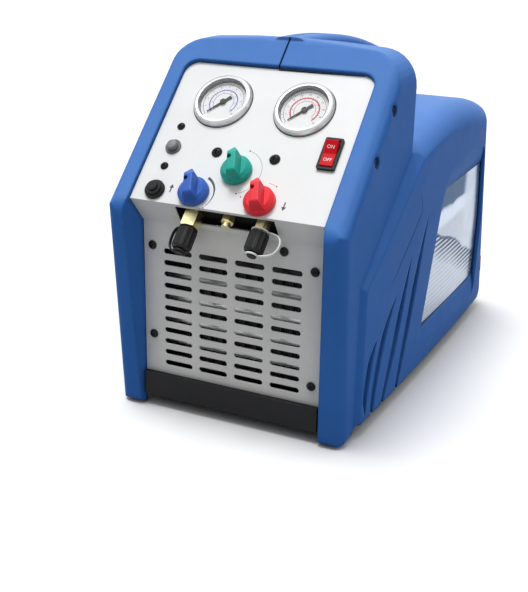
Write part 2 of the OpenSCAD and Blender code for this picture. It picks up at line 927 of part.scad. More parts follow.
// Strap that keeps a cap on its port: an eye at each end and a loop between them
module cap_strap(u, v, side, loop_r) {
  eye = 4.6;
  base_z = v - 3;
  tip_z = v + cap_l - 2.4;
  mid_z = (base_z + tip_z) / 2 + 1;
  rise = (tip_z - base_z) / 2;
  bow = circle_of([cap_r + 1, -rise], [cap_r + loop_r, 0], [cap_r + 1, rise]);
  bow_r = cap_r + loop_r - bow[0];
  on_port(u, 0)
    mirror([side > 0 ? 0 : 1, 0, 0]) {
      difference() {
        translate([0, 0, base_z])
          cylinder(r = cap_r + 0.6, h = 2);
        translate([0, 0, base_z - 1])
          cylinder(r = nipple_r + 0.05, h = 4);
      }
      difference() {
        translate([0, 0, tip_z])
          cylinder(r = eye + 2, h = 2);
        translate([0, 0, tip_z - 1])
          cylinder(r = eye, h = 4);
      }
      translate([eye + 1, -2, tip_z])
        cube([cap_r - eye + 1, 4, 2]);
      rotate([90, 0, 0])
        translate([0, 0, -2])
          linear_extrude(height = 4)
            intersection() {
              difference() {
                translate([bow[0], mid_z])
                  circle(r = bow_r);
                translate([bow[0], mid_z])
                  circle(r = bow_r - 1.8);
              }
              translate([cap_r + 0.2, base_z])
                square([60, tip_z + 2 - base_z]);
            }
    }
}

module input_strap() {
  color("black")
    cap_strap(-port_u, input_cap_v, -1, 7);
}

module output_strap() {
  color("white")
    cap_strap(port_u, output_cap_v, 1, 13);
}

module switch_housing() {
  color("black")
    on_panel(switch_u, switch_v, film)
      difference() {
        union() {
          linear_extrude(height = 3)
            polygon(rounded([[-switch_w / 2, -switch_l / 2, 1.5], [switch_w / 2, -switch_l / 2, 1.5],
              [switch_w / 2, switch_l / 2, 1.5], [-switch_w / 2, switch_l / 2, 1.5]], 4));
          translate([-switch_w / 2 + 1.5, -switch_l / 2 + 2, -22])
            cube([switch_w - 3, switch_l - 4, 23]);
        }
        translate([-6.3, -14.05, -8])
          cube([12.6, 28.1, 20]);
        translate([0, 0, -1.5])
          rotate([0, 90, 0])
            cylinder(r = 1.5 + run, h = 13.6, center = true);
      }
}

// Rocker with its lower end pressed
module switch_rocker() {
  color("red")
    on_panel(switch_u, switch_v, film - 1.5)
      rotate([rocker_a, 0, 0]) {
        rotate([90, 0, 90])
          linear_extrude(height = 12, center = true)
            polygon([[-12.4, -1], [-12.4, 6.8], [-11.8, 7.4], [0, 5], [11.8, 7.4], [12.4, 6.8], [12.4, -1], [0, -3.6]]);
        rotate([0, 90, 0])
          cylinder(r = 1.5, h = 13.2, center = true);
      }
}

module reset_bushing() {
  color("dimgray")
    on_panel(button_u, reset_v, film)
      rotate_extrude()
        difference() {
          union() {
            square([7.6, 1.4]);
            translate([0, -20])
              square([6, 20.5]);
          }
          translate([0, -12])
            square([4.8 + run, 20]);
        }
}

module reset_button() {
  color("gray")
    on_panel(button_u, reset_v, film - 8)
      rotate_extrude()
        polygon([[0, 0], [4.8, 0], [4.8, 13.2], [4.2, 14], [0, 14.4]]);
}

module breaker_bushing() {
  color("black")
    on_panel(button_u, breaker_v, film)
      rotate_extrude()
        difference() {
          union() {
            polygon([[0, 0], [9.5, 0], [9.5, 2.6], [8.6, 3.6], [7.4, 3.6], [7.4, 5.4], [6.8, 6], [0, 6]]);
            translate([0, -26])
              square([6.4, 26.5]);
          }
          translate([0, -14])
            square([4.6 + run, 30]);
        }
}

module breaker_button() {
  color("black")
    on_panel(button_u, breaker_v, film - 13.5)
      rotate_extrude()
        polygon([[0, 0], [4.6, 0], [4.6, 20.7], [3.8, 21.5], [0, 21.5]]);
}

// Cross-head pan screw standing on z = 0
module pan_screw(r, shank) {
  difference() {
    union() {
      intersection() {
        cylinder(r = r, h = r * 0.62);
        translate([0, 0, -r * 0.75])
          sphere(r = r * 1.38);
      }
      translate([0, 0, -shank])
        cylinder(r = 2, h = shank + 0.5);
    }
    for (a = [0, 90])
      rotate([0, 0, a])
        translate([-r * 0.55, -0.5, r * 0.3])
          cube([r * 1.1, 1, r]);
  }
}

module console_screws() {
  color("black")
    for (p = screw_spots)
      on_panel(p[0], p[1], film)
        pan_screw(p[2], 8);
}

module grille_screws() {
  color("black")
    for (p = grille_spots)
      translate([p[0], grille_y, p[1]])
        rotate([90, 0, 0])
          pan_screw(4.2, 8);
}

module shell_screws() {
  color("black")
    for (s = [0, 1], p = side_spots)
      mirror([s, 0, 0])
        on_side(p)
          pan_screw(3.6, 8);
}

// Compressor: motor along Y, crankcase in front of it, finned cylinder on top
comp_z = tray_z + tray_t + 78;
comp_y = panel_y + 250;
comp_l = 110;
case_l = 62;

module compressor_motor() {
  color("dimgray")
    translate([0, comp_y, comp_z])
      rotate([-90, 0, 0])
        union() {
          cylinder(r = motor_r, h = comp_l);
          translate([0, 0, comp_l])
            cylinder(r1 = motor_r, r2 = motor_r - 10, h = 8);
          for (a = [0:15:345])
            rotate([0, 0, a])
              translate([motor_r - 1, -1.2, 8])
                cube([4, 2.4, comp_l - 16]);
        }
}

module crankcase() {
  color("silver")
    difference() {
      union() {
        translate([-48, comp_y - case_l, comp_z - 52])
          cube([96, case_l, 104]);
        translate([-66, comp_y - case_l, comp_z - 64])
          cube([132, comp_l + case_l - 20, 14]);
      }
      translate([0, comp_y - case_l - 1, comp_z])
        rotate([-90, 0, 0])
          cylinder(r = 34, h = case_l - 12);
      translate([0, comp_y, comp_z])
        rotate([-90, 0, 0])
          cylinder(r = motor_r + 4, h = far);
    }
}

module compressor_cylinder() {
  color("silver")
    translate([0, comp_y - case_l / 2, comp_z + 52]) {
      cylinder(r = 26, h = 44);
      for (j = [0:5])
        translate([0, 0, 6 + j * 6.4])
          cylinder(r = 36, h = 2.4);
    }
}

module cylinder_head() {
  color("gray")
    translate([0, comp_y - case_l / 2, comp_z + 96]) {
      linear_extrude(height = 16)
        polygon(rounded([[-34, -28, 8], [34, -28, 8], [34, 28, 8], [-34, 28, 8]]));
      for (x = [-26, 26], y = [-20, 20])
        translate([x, y, 16])
          cylinder(r = 4.5, h = 4, $fn = 6);
    }
}

module compressor_mounts() {
  color("black")
    for (x = [-56, 56], y = [comp_y - case_l + 12, comp_y + comp_l - 36])
      translate([x, y, tray_z + tray_t])
        cylinder(r = 9, h = comp_z - 64 - tray_z - tray_t);
}

// Condenser behind the grille: an aluminium fin block on a serpentine of tubes
cond_y = grille_y + 24;
cond_t = 36;
cond_hw = opening_hw - 18.5;
cond_z0 = 36;
cond_z1 = 168;
tube_pitch = 2 * slot_pitch_z;
tube_r = 4.8;
tube_y = cond_y + 1;
tube_low_z = cond_z0 + 4;

module condenser_fins() {
  color("silver")
    difference() {
      union() {
        translate([-cond_hw, cond_y, cond_z0])
          cube([2 * cond_hw, cond_t, cond_z1 - cond_z0]);
        for (s = [-1, 1])
          translate([s * (cond_hw + 1) - 1, cond_y - 8, tray_z + tray_t])
            cube([2, cond_t + 11, cond_z1 - tray_z - tray_t]);
      }
      for (i = [0:11])
        translate([-cond_hw + 8 + i * 12.2, cond_y - 1, cond_z0 + 3])
          cube([9, 5, cond_z1 - cond_z0 - 6]);
      for (j = [0:5])
        translate([-cond_hw - 10, tube_y, tube_low_z + j * tube_pitch])
          rotate([0, 90, 0])
            cylinder(r = tube_r + 0.02, h = 2 * cond_hw + 20);
    }
}

module condenser_tubes() {
  color("peru")
    translate([0, tube_y, tube_low_z]) {
      for (j = [0:5])
        translate([-cond_hw - 4, 0, j * tube_pitch])
          rotate([0, 90, 0])
            cylinder(r = tube_r, h = 2 * cond_hw + 8);
      for (j = [0:4])
        translate([(j % 2 == 0 ? 1 : -1) * (cond_hw + 4), 0, (j + 0.5) * tube_pitch])
          rotate([90, 0, 0])
            rotate([0, 0, j % 2 == 0 ? -90 : 90])
              rotate_extrude(angle = 180)
                translate([tube_pitch / 2, 0])
                  circle(r = tube_r);
    }
}

fan_y = cond_y + cond_t + 22;
fan_z = 102;

// Plate with a round mouth that holds the fan motor on two struts
module fan_shroud() {
  color("dimgray")
    difference() {
      union() {
        translate([-cond_hw - 2, cond_y + cond_t + 3, tray_z + tray_t])
          cube([2 * cond_hw + 4, 2, cond_z1 - tray_z - tray_t]);
        for (s = [-1, 1])
          translate([s * (cond_hw - 2) - 4, cond_y + cond_t + 3, fan_z - 5])
            cube([8, 62, 10]);
        translate([-cond_hw - 2, fan_y + 31, fan_z - 5])
          cube([2 * cond_hw + 4, 3, 10]);
      }
      translate([0, cond_y + cond_t, fan_z])
        rotate([-90, 0, 0])
          cylinder(r = fan_r + 3, h = 12);
      translate([0, fan_y + 20, fan_z])
        rotate([-90, 0, 0])
          cylinder(r = 4, h = 30);
    }
}

module fan_motor() {
  color("gray")
    translate([0, fan_y, fan_z])
      rotate([-90, 0, 0]) {
        translate([0, 0, 34.05])
          cylinder(r = 24, h = 34);
        translate([0, 0, 33])
          cylinder(r = 4, h = 2);
        translate([0, 0, -4])
          cylinder(r = 2.5, h = 40);
      }
}

module fan_blade() {
  color("black")
    translate([0, fan_y, fan_z])
      rotate([-90, 0, 0])
        difference() {
          union() {
            cylinder(r = 14, h = 16);
            for (i = [0:fan_blades - 1])
              rotate([0, 0, i * 360 / fan_blades])
                translate([10, 0, 8])
                  rotate([32, 0, 0])
                    translate([0, -13, -1])
                      linear_extrude(height = 2)
                        polygon(rounded([[0, 4, 0], [fan_r - 16, 0, 10], [fan_r - 16, 26, 10], [0, 22, 0]]));
          }
          translate([0, 0, -5])
            cylinder(r = 2.5 + run, h = 30);
        }
}

// Appliance inlet on the back: flange, deep socket and three flat contacts
module power_inlet() {
  color("black")
    on_rear()
      difference() {
        union() {
          translate([34, -wall, 16])
            cube([40, 3, 29]);
          translate([40.4, -34, 20.4])
            cube([27.2, 34 - wall + 1, 20.2]);
        }
        difference() {
          translate([42.5, -wall - 18, 22.5])
            cube([23, 40, 16]);
          for (x = [47, 54, 61])
            translate([x - 1, -wall - 19, 28])
              cube([2, 14, 5]);
        }
      }
}

module run_capacitor() {
  color("lightgray")
    translate([floor_hw - 22, comp_y + 25, tray_z + tray_t]) {
      cylinder(r = 16, h = 80);
      cylinder(r = 17.5, h = 6);
      for (x = [-7, 7])
        translate([x - 3, -0.5, 80])
          cube([6, 1, 9]);
    }
}

// Pipe of straight runs through the given points, with round corners
module pipe(points, r) {
  for (i = [0:len(points) - 2])
    let (a = points[i], d = points[i + 1] - a, l = norm(d))
      translate(a)
        rotate([0, acos(d[2] / l), atan2(d[1], d[0])])
          cylinder(r = r, h = l);
  for (i = [1:len(points) - 2])
    translate(points[i])
      sphere(r = r + 0.05);
}

pipe_r = 4;
tube_top_z = tube_low_z + 5 * tube_pitch;

// From the valve block back and down to the crankcase
module suction_pipe() {
  a = face_pt(40, mani_n0);
  b = face_pt(40, mani_n0 - 16);
  down_y = comp_y - case_l - 14;
  color("peru")
    pipe([[30, a[0], a[1]], [30, b[0], b[1]], [30, down_y, b[1]], [30, down_y, comp_z + 40],
      [30, comp_y - case_l, comp_z + 40]], pipe_r);
}

// From the cylinder head forward to the condenser's top tube
module discharge_pipe() {
  head_z = comp_z + 104;
  head_y = comp_y - case_l / 2 - 28;
  out_x = cond_hw + 14;
  color("peru")
    pipe([[-20, head_y, head_z], [-20, head_y - 16, head_z], [-out_x, head_y - 16, head_z],
      [-out_x, tube_y, head_z], [-out_x, tube_y, tube_top_z], [-cond_hw - 4, tube_y, tube_top_z]], pipe_r);
}

// From the condenser's lowest tube up to the side of the valve block
module liquid_pipe() {
  out_x = cond_hw + 26;
  a = face_pt(35, (mani_n0 + mani_n1) / 2);
  color("peru")
    pipe([[-cond_hw - 4, tube_y, tube_low_z], [-out_x, tube_y, tube_low_z], [-out_x, tube_y, a[1]],
      [-out_x, a[0], a[1]], [-mani_hw, a[0], a[1]]], pipe_r);
}

right_shell();
left_shell();
front_panel();
panel_overlay();
base_tray();
rear_panel();
right_side_plate();
left_side_plate();
rubber_feet();
rear_bumpers();
low_gauge_case();
low_gauge_dial();
low_gauge_pointer();
low_gauge_lens();
high_gauge_case();
high_gauge_dial();
high_gauge_pointer();
high_gauge_lens();
valve_manifold();
input_knob();
mode_knob();
output_knob();
input_stem();
mode_stem();
output_stem();
input_port();
purge_plug();
output_port();
input_cap();
output_cap();
input_strap();
output_strap();
switch_housing();
switch_rocker();
reset_bushing();
reset_button();
breaker_bushing();
breaker_button();
console_screws();
grille_screws();
shell_screws();
compressor_motor();
crankcase();
compressor_cylinder();
cylinder_head();
compressor_mounts();
condenser_fins();
condenser_tubes();
fan_shroud();
fan_motor();
fan_blade();
power_inlet();
run_capacitor();
suction_pipe();
discharge_pipe();
liquid_pipe();
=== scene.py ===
"""Looks of a portable refrigerant recovery machine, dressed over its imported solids."""
import json
import math

import bmesh
import bpy
from bpy.props import FloatProperty, FloatVectorProperty, PointerProperty
from mathutils import Matrix, Vector


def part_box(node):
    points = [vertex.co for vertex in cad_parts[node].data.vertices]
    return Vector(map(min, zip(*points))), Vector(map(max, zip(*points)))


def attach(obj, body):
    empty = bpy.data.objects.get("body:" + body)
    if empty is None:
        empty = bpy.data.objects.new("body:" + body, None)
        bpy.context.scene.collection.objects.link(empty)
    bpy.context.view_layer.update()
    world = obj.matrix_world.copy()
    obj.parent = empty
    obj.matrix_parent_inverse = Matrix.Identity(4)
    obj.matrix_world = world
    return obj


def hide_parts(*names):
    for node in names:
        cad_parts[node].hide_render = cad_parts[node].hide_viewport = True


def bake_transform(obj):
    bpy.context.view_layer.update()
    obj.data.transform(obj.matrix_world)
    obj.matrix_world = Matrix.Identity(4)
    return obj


bl_info = {
    "name": "Recovery Machine Finish",
    "version": (1, 0, 0),
    "blender": (4, 5, 0),
    "location": "View3D > Sidebar > Machine",
    "description": "Finishes, printed marks and studio for a portable refrigerant recovery machine",
    "category": "Object",
}

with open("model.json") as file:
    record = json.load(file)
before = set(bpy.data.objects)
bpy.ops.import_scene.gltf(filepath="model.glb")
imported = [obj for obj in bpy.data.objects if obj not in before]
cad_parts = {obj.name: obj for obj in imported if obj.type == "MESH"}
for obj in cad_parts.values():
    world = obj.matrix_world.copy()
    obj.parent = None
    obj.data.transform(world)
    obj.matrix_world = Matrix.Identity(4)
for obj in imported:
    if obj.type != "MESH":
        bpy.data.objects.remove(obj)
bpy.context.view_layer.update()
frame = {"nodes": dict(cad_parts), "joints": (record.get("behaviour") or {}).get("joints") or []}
NODES = frame["nodes"]
JOINTS = {j["name"]: j for j in frame["joints"]}
MM = 0.001

# Directions of the sloping panel: to the right, up the slope, out of the face
ACROSS = Vector((1, 0, 0))
OUT = Vector(JOINTS["mode_knob_turn"]["axis"]).normalized()
UP = OUT.cross(ACROSS)

# Corners of printed faces that lie nearer than this, in metres, are joined
WELD = 2e-6

# Sockets of a Mix node that blends colours
MIX_FACTOR, MIX_A, MIX_B, MIX_RESULT = 0, 6, 7, 2

# Parts of a noise's range that are stretched to run from 0 to 1
CLOUD_BAND = (0.3, 0.7)
STAIN_BAND = (0.35, 0.72)
CHIP_BAND = (0.42, 0.62)

# Printed arcs and dots: degrees in a step, fewest steps, corners of a dot
ARC_STEP = 4
FEWEST_STEPS = 6
DOT_CORNERS = 16


def centre(joint):
    """Point of a joint's axis, in metres."""
    return Vector(JOINTS[joint]["pos_m"])


def swatch(name, rgb, note):
    """Colour that a user may change."""
    return FloatVectorProperty(name=name, description=note, subtype="COLOR", size=3,
                               min=0, max=1, default=rgb)


def length(name, mm, note):
    """Length that a user may change, given in millimetres."""
    return FloatProperty(name=name, description=note, unit="LENGTH", default=mm * MM)


class MachineColours(bpy.types.PropertyGroup):
    """Colours of the machine's finishes."""
    shell: swatch("Shell", (0.044, 0.168, 0.535), "Moulded blue side shells")
    # Rubbed edges of the shells: wear, and also a painted highlight along the edges
    shell_rub_and_highlight: swatch("Shell rub and highlight", (0.09, 0.26, 0.68), "Rubbed edges of the shells, with painted highlight")
    # Painted sheen: a pale colour laid on the shells' faces that turn up
    shell_sheen: swatch("Shell sheen", (0.27, 0.41, 0.66), "Painted sheen on the shells' upper faces")
    film: swatch("Panel film", (0.80, 0.81, 0.81), "White film on the control panel")
    sheet: swatch("Sheet", (0.78, 0.78, 0.76), "Silver paint on the grille and the back")
    tray: swatch("Tray", (0.017, 0.017, 0.019), "Black paint on the base tray and fan shroud")
    plate: swatch("Window plate", (0.40, 0.46, 0.56), "Glossy plate in the side windows")
    # Painted reflection: the dark breaks drawn into the window plates
    plate_dark: swatch("Window shade", (0.045, 0.15, 0.34), "Dark breaks in the plate's painted reflection")
    steel: swatch("Steel", (0.55, 0.56, 0.56), "Gauge bezels and pointer hubs")
    lens: swatch("Lens", (0.30, 0.31, 0.31), "Clear gauge lenses")
    brass: swatch("Brass", (0.86, 0.79, 0.44), "Hose ports and valve stems")
    copper: swatch("Copper", (0.72, 0.36, 0.22), "Refrigerant pipes")
    alloy: swatch("Alloy", (0.60, 0.61, 0.62), "Castings, fins, tubes and cans inside")
    enamel: swatch("Enamel", (0.03, 0.032, 0.036), "Enamelled motors")
    rubber: swatch("Rubber", (0.018, 0.018, 0.019), "Feet, pads and mounts")
    black: swatch("Black plastic", (0.012, 0.012, 0.013), "Caps, housings, screws and valve block")
    grey: swatch("Grey plastic", (0.22, 0.22, 0.23), "Reset button")
    blue_knob: swatch("Inlet knob", (0.035, 0.125, 0.50), "Knob over the inlet")
    green_knob: swatch("Mode knob", (0.010, 0.36, 0.29), "Knob in the middle")
    red_knob: swatch("Outlet knob", (0.80, 0.030, 0.045), "Knob over the outlet")
    # Painted shade: colour of the dark discs laid in the knobs' holes
    knob_hole: swatch("Knob hole", (0.004, 0.004, 0.005), "Painted shade in the knobs' holes")
    rocker: swatch("Rocker", (0.62, 0.008, 0.016), "Power rocker")
    legend: swatch("Legend", (0.85, 0.80, 0.78), "Words on the rocker")
    strap: swatch("Pale strap", (0.78, 0.79, 0.77), "Strap of the outlet's cap")
    dial: swatch("Dial", (0.90, 0.90, 0.90), "Gauge dials")
    ink: swatch("Ink", (0.030, 0.030, 0.032), "Dark print and pointers")
    pale_ink: swatch("Pale ink", (0.36, 0.37, 0.38), "Light grey print")
    low_ink: swatch("Low scale", (0.10, 0.13, 0.52), "Coloured scale of the low gauge")
    high_ink: swatch("High scale", (0.60, 0.05, 0.09), "Coloured scale of the high gauge")
    floor: swatch("Floor", (0.88, 0.88, 0.88), "Studio floor")


class MachineSizes(bpy.types.PropertyGroup):
    """Sizes of the printed marks, straps, soft edges and lens."""
    mode_height: length("Mode knob height", 42.0, "Middle knob's place up the panel's slope")
    mode_shift: length("Mode knob shift", -2.3, "Middle knob's place across the panel")
    print_lift: length("Print lift", 0.03, "Thickness of printed ink over its ground")
    dial_lift: length("Dial lift", -0.7, "Height of a dial's face over its pointer's joint")
    strap_w: length("Strap width", 4.0, "Width of a cap's strap")
    strap_t: length("Strap thickness", 1.7, "Thickness of a cap's strap")
    edge: length("Edge rounding", 0.7, "Rounding that light shows on moulded edges")
    shell_edge: length("Shell rounding", 4.5, "Rounding that light shows on the shells' edges")
    focal: FloatProperty(name="Lens", description="Focal length in millimetres", unit="CAMERA",
                         default=62.98)


def colours():
    return bpy.context.scene.machine_colours


def sizes():
    return bpy.context.scene.machine_sizes


def on_panel(u, v, n=0.0):
    """Point of the sloping panel, from millimetres across, up and out of its film."""
    lower = centre("mode_knob_turn") - UP * sizes().mode_height - ACROSS * sizes().mode_shift
    return lower + (ACROSS * u + UP * v + OUT * n) * MM


def panel_place(joint):
    """Place of a joint on the panel, in millimetres across and up."""
    reach = centre(joint) - on_panel(0, 0)
    return reach.dot(ACROSS) / MM, reach.dot(UP) / MM


class Nodes:
    """Short way to fill a node tree."""

    def __init__(self, tree):
        self.tree = tree

    def add(self, kind, inputs=None, **attributes):
        """New node with its attributes set and its inputs filled."""
        node = self.tree.nodes.new("ShaderNode" + kind)
        for name, value in attributes.items():
            setattr(node, name, value)
        self.fill(node, inputs or {})
        return node

    def fill(self, node, inputs):
        """Links sockets to a node's inputs, and sets the rest to their values."""
        for name, value in inputs.items():
            if isinstance(value, bpy.types.NodeSocket):
                self.tree.links.new(value, node.inputs[name])
            else:
                node.inputs[name].default_value = value

    def math(self, operation, a, b=0.0):
        return self.add("Math", {0: a, 1: b}, operation=operation).outputs[0]

    def blend(self, factor, a, b):
        """Colour a where the factor is 0, and b where it is 1."""
        inputs = {MIX_FACTOR: factor, MIX_A: a, MIX_B: b}
        return self.add("Mix", inputs, data_type="RGBA").outputs[MIX_RESULT]

    def spread(self, value, low, high, at=(0.0, 1.0)):
        """Value that runs from low to high as the given one runs over the range at, and stops there."""
        inputs = {"Value": value, "From Min": at[0], "From Max": at[1], "To Min": low, "To Max": high}
        return self.add("MapRange", inputs).outputs["Result"]

    def noise(self, place, scale, detail, roughness=0.5):
        inputs = {"Vector": place, "Scale": scale, "Detail": detail, "Roughness": roughness}
        return self.add("TexNoise", inputs).outputs["Fac"]

    def place(self):
        """Object coordinates of the shaded point."""
        return self.add("TexCoord").outputs["Object"]

    def parts(self, vector):
        """X, Y and Z of a vector."""
        return self.add("SeparateXYZ", {0: vector}).outputs


def new_group(name, inputs, outputs):
    """Empty node group with float inputs {name: default} and outputs {name: kind}."""
    tree = bpy.data.node_groups.new(name, "ShaderNodeTree")
    for label, default in inputs.items():
        socket = tree.interface.new_socket(name=label, in_out="INPUT", socket_type="NodeSocketFloat")
        socket.default_value = default
    for label, kind in outputs.items():
        tree.interface.new_socket(name=label, in_out="OUTPUT", socket_type="NodeSocket" + kind)
    given = tree.nodes.new("NodeGroupInput").outputs
    return Nodes(tree), given, tree.nodes.new("NodeGroupOutput")


def group(name):
    """One of the shared effects, built the first time it is asked for."""
    if name not in bpy.data.node_groups:
        GROUPS[name](name)
    return bpy.data.node_groups[name]


def moulded_grain(name):
    """Fine grain, cloudy tint and hazy gloss of a moulded or painted surface."""
    haze_to_cloud = 5.3
    n, given, out = new_group(name, {"Grain": 2600.0, "Cloud": 14.0},
                              {"Tint": "Float", "Haze": "Float", "Height": "Float"})
    place = n.place()
    fine = n.noise(place, given["Grain"], detail=2.0, roughness=0.55)
    cloud = n.noise(place, given["Cloud"], detail=4.0, roughness=0.6)
    haze_scale = n.math("MULTIPLY", given["Cloud"], haze_to_cloud)
    haze = n.noise(place, haze_scale, detail=5.0, roughness=0.65)
    n.fill(out, {"Tint": n.spread(cloud, 0.0, 1.0, CLOUD_BAND),
                 "Haze": n.spread(haze, 0.0, 1.0, CLOUD_BAND), "Height": fine})


def edge_rub(name):
    """Rounded edge normal, and a broken mask along the edges that hands and floors rub."""
    edge_turn = (0.80, 0.985)
    n, given, out = new_group(name, {"Radius": 0.0007, "Break": 240.0},
                              {"Mask": "Float", "Normal": "Vector"})
    soft = n.add("Bevel", {"Radius": given["Radius"]}, samples=8).outputs["Normal"]
    flat = n.add("NewGeometry").outputs["Normal"]
    turn = n.add("VectorMath", {0: soft, 1: flat}, operation="DOT_PRODUCT").outputs["Value"]
    edge = n.spread(turn, 1.0, 0.0, edge_turn)
    chips = n.noise(n.place(), given["Break"], detail=4.0)
    broken = n.math("MULTIPLY", edge, n.spread(chips, 0.0, 1.0, CHIP_BAND))
    n.fill(out, {"Mask": broken, "Normal": soft})


def brushed_lines(name):
    """Fine turned or drawn lines of bare metal, and its stains."""
    stain_scale = 55.0
    n, given, out = new_group(name, {"Fine": 900.0, "Stretch": 0.05},
                              {"Line": "Float", "Stain": "Float"})
    place = n.place()
    stretch = n.add("CombineXYZ", {0: 1.0, 1: given["Stretch"], 2: 1.0}).outputs[0]
    drawn = n.add("VectorMath", {0: place, 1: stretch}, operation="MULTIPLY").outputs[0]
    line = n.noise(drawn, given["Fine"], detail=3.0)
    stain = n.noise(place, stain_scale, detail=5.0, roughness=0.62)
    n.fill(out, {"Line": n.spread(line, 0.0, 1.0, CLOUD_BAND),
                 "Stain": n.spread(stain, 0.0, 1.0, STAIN_BAND)})


GROUPS = {"moulded grain": moulded_grain, "edge rub": edge_rub, "brushed lines": brushed_lines}


def shade(rgb, factor=1.0):
    """Colour times a factor, kept in range, with full alpha."""
    return (*[min(max(x * factor, 0.0), 1.0) for x in rgb], 1.0)


def showing(n):
    """1 for the rays that show the background: to the camera, in metal and through glass."""
    path = n.add("LightPath").outputs
    mirrored = n.math("MAXIMUM", path["Is Glossy Ray"], path["Is Transmission Ray"])
    return n.math("MAXIMUM", path["Is Camera Ray"], mirrored)


def start_material(name):
    """New material, its nodes and its shader."""
    material = bpy.data.materials.new(name)
    material.use_nodes = True
    material.node_tree.nodes.clear()
    n = Nodes(material.node_tree)
    bsdf = n.add("BsdfPrincipled")
    n.add("OutputMaterial", {"Surface": bsdf.outputs[0]})
    return material, n, bsdf


def use_group(n, name, **values):
    """Places a shared effect in a material, with its own values."""
    return n.add("Group", values, node_tree=group(name)).outputs


def moulded(name, rgb, gloss=(0.32, 0.46), tint=0.07, rub=0.22, grain=2600.0, depth=0.00004, edge=None,
            cloud=14.0, specular=0.3, rub_to=None, painted_sheen=None, hollow=None):
    """Moulded plastic, rubber or paint: cloudy tint, fine grain, hazy gloss and rubbed edges.

    gloss is the roughness where it is shiniest and dullest. rub_to is the colour of rubbed edges, and
    bloom the colour of a painted sheen, in patches, on faces turned up. hollow is the strength and the
    reach of the painted shade in corners and grooves.
    """
    rub_keep, rub_pale = 0.75, 0.16
    sheen_strength, sheen_turn, sheen_patches = 0.36, (0.25, 1.0), (0.8, 1.1)
    hollow_open, hollow_tone = (0.40, 0.95), 0.30
    grain_strength = 0.6
    material, n, bsdf = start_material(name)
    surface = use_group(n, "moulded grain", Grain=grain, Cloud=cloud)
    worn = use_group(n, "edge rub", Radius=sizes().edge if edge is None else edge)
    rubbed = [x * rub_keep + rub_pale for x in rgb] if rub_to is None else rub_to
    colour = n.blend(surface["Tint"], shade(rgb, 1 - tint), shade(rgb, 1 + tint))
    colour = n.blend(n.math("MULTIPLY", worn["Mask"], rub), colour, shade(rubbed))
    # Painted sheen: faces turned up are made paler, in patches
    if painted_sheen is not None:
        cover = n.spread(n.parts(worn["Normal"])["Z"], 0.0, sheen_strength, sheen_turn)
        sheen_mask = n.math("MULTIPLY", cover, n.spread(surface["Haze"], *sheen_patches))
        colour = n.blend(sheen_mask, colour, shade(painted_sheen))
    # Painted shade: the colour darkens in corners and grooves where ambient occlusion finds little open sky
    if hollow is not None:
        strength, reach = hollow
        open_sky = n.add("AmbientOcclusion", {"Distance": reach}, samples=8).outputs["AO"]
        colour = n.blend(n.spread(open_sky, strength, 0.0, hollow_open), colour, shade(rgb, hollow_tone))
    bump = n.add("Bump", {"Height": surface["Height"], "Strength": grain_strength, "Distance": depth,
                          "Normal": worn["Normal"]})
    n.fill(bsdf, {"Base Color": colour, "Roughness": n.spread(surface["Haze"], *gloss),
                  "Normal": bump.outputs[0], "Specular IOR Level": specular})
    return material


def bare_metal(name, rgb, gloss=(0.16, 0.32), stain=0.25, fine=900.0, stretch=0.05, edge=0.0004):
    """Bare turned, drawn or cast metal with faint lines and handling stains."""
    line_dark, line_bright, stain_tone = 0.94, 1.04, 0.55
    rub, rub_tone = 0.4, 1.25
    line_strength, line_depth = 0.3, 0.00002
    material, n, bsdf = start_material(name)
    lines = use_group(n, "brushed lines", Fine=fine, Stretch=stretch)
    worn = use_group(n, "edge rub", Radius=edge)
    colour = n.blend(lines["Line"], shade(rgb, line_dark), shade(rgb, line_bright))
    colour = n.blend(n.math("MULTIPLY", lines["Stain"], stain), colour, shade(rgb, stain_tone))
    colour = n.blend(n.math("MULTIPLY", worn["Mask"], rub), colour, shade(rgb, rub_tone))
    bump = n.add("Bump", {"Height": lines["Line"], "Strength": line_strength, "Distance": line_depth,
                          "Normal": worn["Normal"]})
    n.fill(bsdf, {"Base Color": colour, "Roughness": n.spread(lines["Stain"], *gloss),
                  "Normal": bump.outputs[0], "Metallic": 1.0})
    return material


def ink(name, rgb, gloss=0.45):
    """Screen-printed ink with slightly uneven cover."""
    dense, thin_keep, thin_pale, dull = 0.9, 0.96, 0.03, 0.15
    material, n, bsdf = start_material(name)
    surface = use_group(n, "moulded grain", Grain=4200.0, Cloud=260.0)
    thin = shade([x * thin_keep + thin_pale for x in rgb])
    n.fill(bsdf, {"Base Color": n.blend(surface["Tint"], shade(rgb, dense), thin),
                  "Roughness": n.spread(surface["Haze"], gloss, gloss + dull)})
    return material


def darken(material, mask, colour):
    """Lays a dark colour over a finish; mask(n, place) says where, from X, Y and Z in metres."""
    n = Nodes(material.node_tree)
    base = next(x for x in n.tree.nodes if x.type == "BSDF_PRINCIPLED").inputs["Base Color"]
    n.tree.links.new(n.blend(mask(n, n.parts(n.place())), base.links[0].from_socket, colour), base)


def dress(material, *names):
    """Gives CAD nodes a finish."""
    for name in names:
        slots = NODES[name].data.materials
        slots.clear()
        slots.append(material)


def add_piece(name, made, material, body, smooth=False):
    """Turns an open bmesh into a piece, finishes it and lets it ride on a body."""
    mesh = bpy.data.meshes.new(name)
    made.to_mesh(mesh)
    made.free()
    piece = bpy.data.objects.new(name, mesh)
    bpy.context.scene.collection.objects.link(piece)
    mesh.materials.append(material)
    if smooth:
        mesh.shade_smooth()
    if body:
        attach(piece, body)
    return piece


def around(at, r, degrees):
    """Flat point on a circle about another."""
    turn = math.radians(degrees)
    return Vector((at[0] + r * math.cos(turn), at[1] + r * math.sin(turn)))


